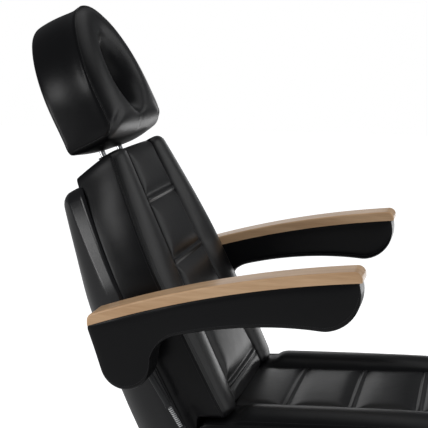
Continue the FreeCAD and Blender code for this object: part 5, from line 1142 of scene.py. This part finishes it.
floor_mesh = bpy.data.meshes.new("floor")
floor_corners = [(x * FLOOR_REACH, y * FLOOR_REACH, 0) for x, y in ((-1, -1), (1, -1), (1, 1), (-1, 1))]
floor_mesh.from_pydata(floor_corners, [], [(0, 1, 2, 3)])
floor = put("floor", floor_mesh)
floor.location.z = -FLOOR_BELOW
floor_paint = finish("pale_floor", (FLOOR_GREY,) * 3, 0.7, pebble=200, bump=0.02, dust=0.0, specular=0.1)
tree = floor_paint.node_tree
in_view, in_gloss = ray_kinds(tree)
dimmed = mix_colours(tree, in_gloss, (*(FLOOR_GREY,) * 3, 1), (*(GREY_MIRRORED,) * 3, 1))
glow = math_node(tree, "MAXIMUM", times(tree, in_view, FLOOR_GLOW), times(tree, in_gloss, GLOW_MIRRORED))
feed(tree, tree.nodes["base_colour"], {6: dimmed.outputs[2]})
feed(tree, tree.nodes["Principled BSDF"], {"Emission Color": (1, 1, 1, 1), "Emission Strength": glow})
floor_mesh.materials.append(floor_paint)
print("floor", 2 * FLOOR_REACH, "m wide")

# %% World
AMBIENT, MIRRORED, AMBIENT_COLOUR = 0.60, 0.10, (0.95, 0.97, 1.0, 1)
world = bpy.data.worlds.new("studio")
scene.world = world
world.use_nodes = True
tree = world.node_tree
tree.nodes.clear()
in_view, in_gloss = ray_kinds(tree)
strength = plus(tree, times(tree, in_gloss, MIRRORED - AMBIENT), AMBIENT)
ambient = result(tree, "ShaderNodeBackground", {"Color": AMBIENT_COLOUR, "Strength": strength})
white = result(tree, "ShaderNodeBackground", {"Color": (1, 1, 1, 1), "Strength": 1.0})
chosen = result(tree, "ShaderNodeMixShader", {0: in_view, 1: ambient, 2: white})
add_node(tree, "ShaderNodeOutputWorld", {"Surface": chosen})
print("world: ambient", AMBIENT, "in reflections", MIRRORED)

# %% Lamps
MIDDLE = (-0.1, 0.0, 0.8)
# Name, place, the point that it looks at, width, height and power in watts
LAMPS = (
    ("overhead", (0.2, 1.4, 3.1), MIDDLE, 2.0, 1.4, 4.5),
    ("feet_side", (3.0, 1.6, 1.5), MIDDLE, 2.6, 2.0, 13),
    ("front_right", (2.4, -2.6, 1.9), MIDDLE, 2.2, 2.2, 5),
    ("left_low", (-2.5, -1.45, 0.75), (-0.6, -0.25, 0.95), 0.5, 1.0, 8),
    ("left_high", (-2.1, -2.3, 1.95), (-0.7, -0.2, 1.15), 0.8, 0.9, 11),
    ("far_side", (1.6, 2.6, 2.2), MIDDLE, 1.6, 1.2, 5),
    ("far_left", (-1.0, 2.6, 1.2), (0.1, 0.0, 0.6), 1.6, 0.7, 2.4),
    ("far_low", (0.3, 2.5, 0.5), (-0.3, 0.0, 0.7), 1.4, 0.5, 3),
)
for name, place, aim, wide, high, power in LAMPS:
    data = bpy.data.lights.new(name, "AREA")
    data.shape = "RECTANGLE"
    data.size, data.size_y, data.energy = wide, high, power
    lamp = put(name, data)
    lamp.location = place
    lamp.rotation_euler = (Vector(aim) - Vector(place)).to_track_quat("-Z", "Y").to_euler()
print("lamps:", len(LAMPS))

# %% [markdown]
# ## Camera
#
# The vanishing lines of the armrests and the seat give the photograph's camera: it stands to the
# sitter's right, a little towards the feet and above, and looks slightly down.

# %% Camera
YAW, PITCH, FOCAL_PIXELS, FRAME_PIXELS, SENSOR = 0.2355, 0.1697, 1150.0, 428.0, 36.0
CAMERA_PLACE = (0.2934, -2.6552, 1.4769)
lens = bpy.data.cameras.new("photo_view")
lens.sensor_width = SENSOR
lens.lens = SENSOR * FOCAL_PIXELS / FRAME_PIXELS
camera = put("photo_view", lens)
camera.location = CAMERA_PLACE
gaze = Vector((-math.sin(YAW) * math.cos(PITCH), math.cos(YAW) * math.cos(PITCH), -math.sin(PITCH)))
camera.rotation_euler = gaze.to_track_quat("-Z", "Y").to_euler()
scene.camera = camera
scene.view_settings.view_transform = "Standard"
print("camera lens", round(lens.lens, 1), "mm")
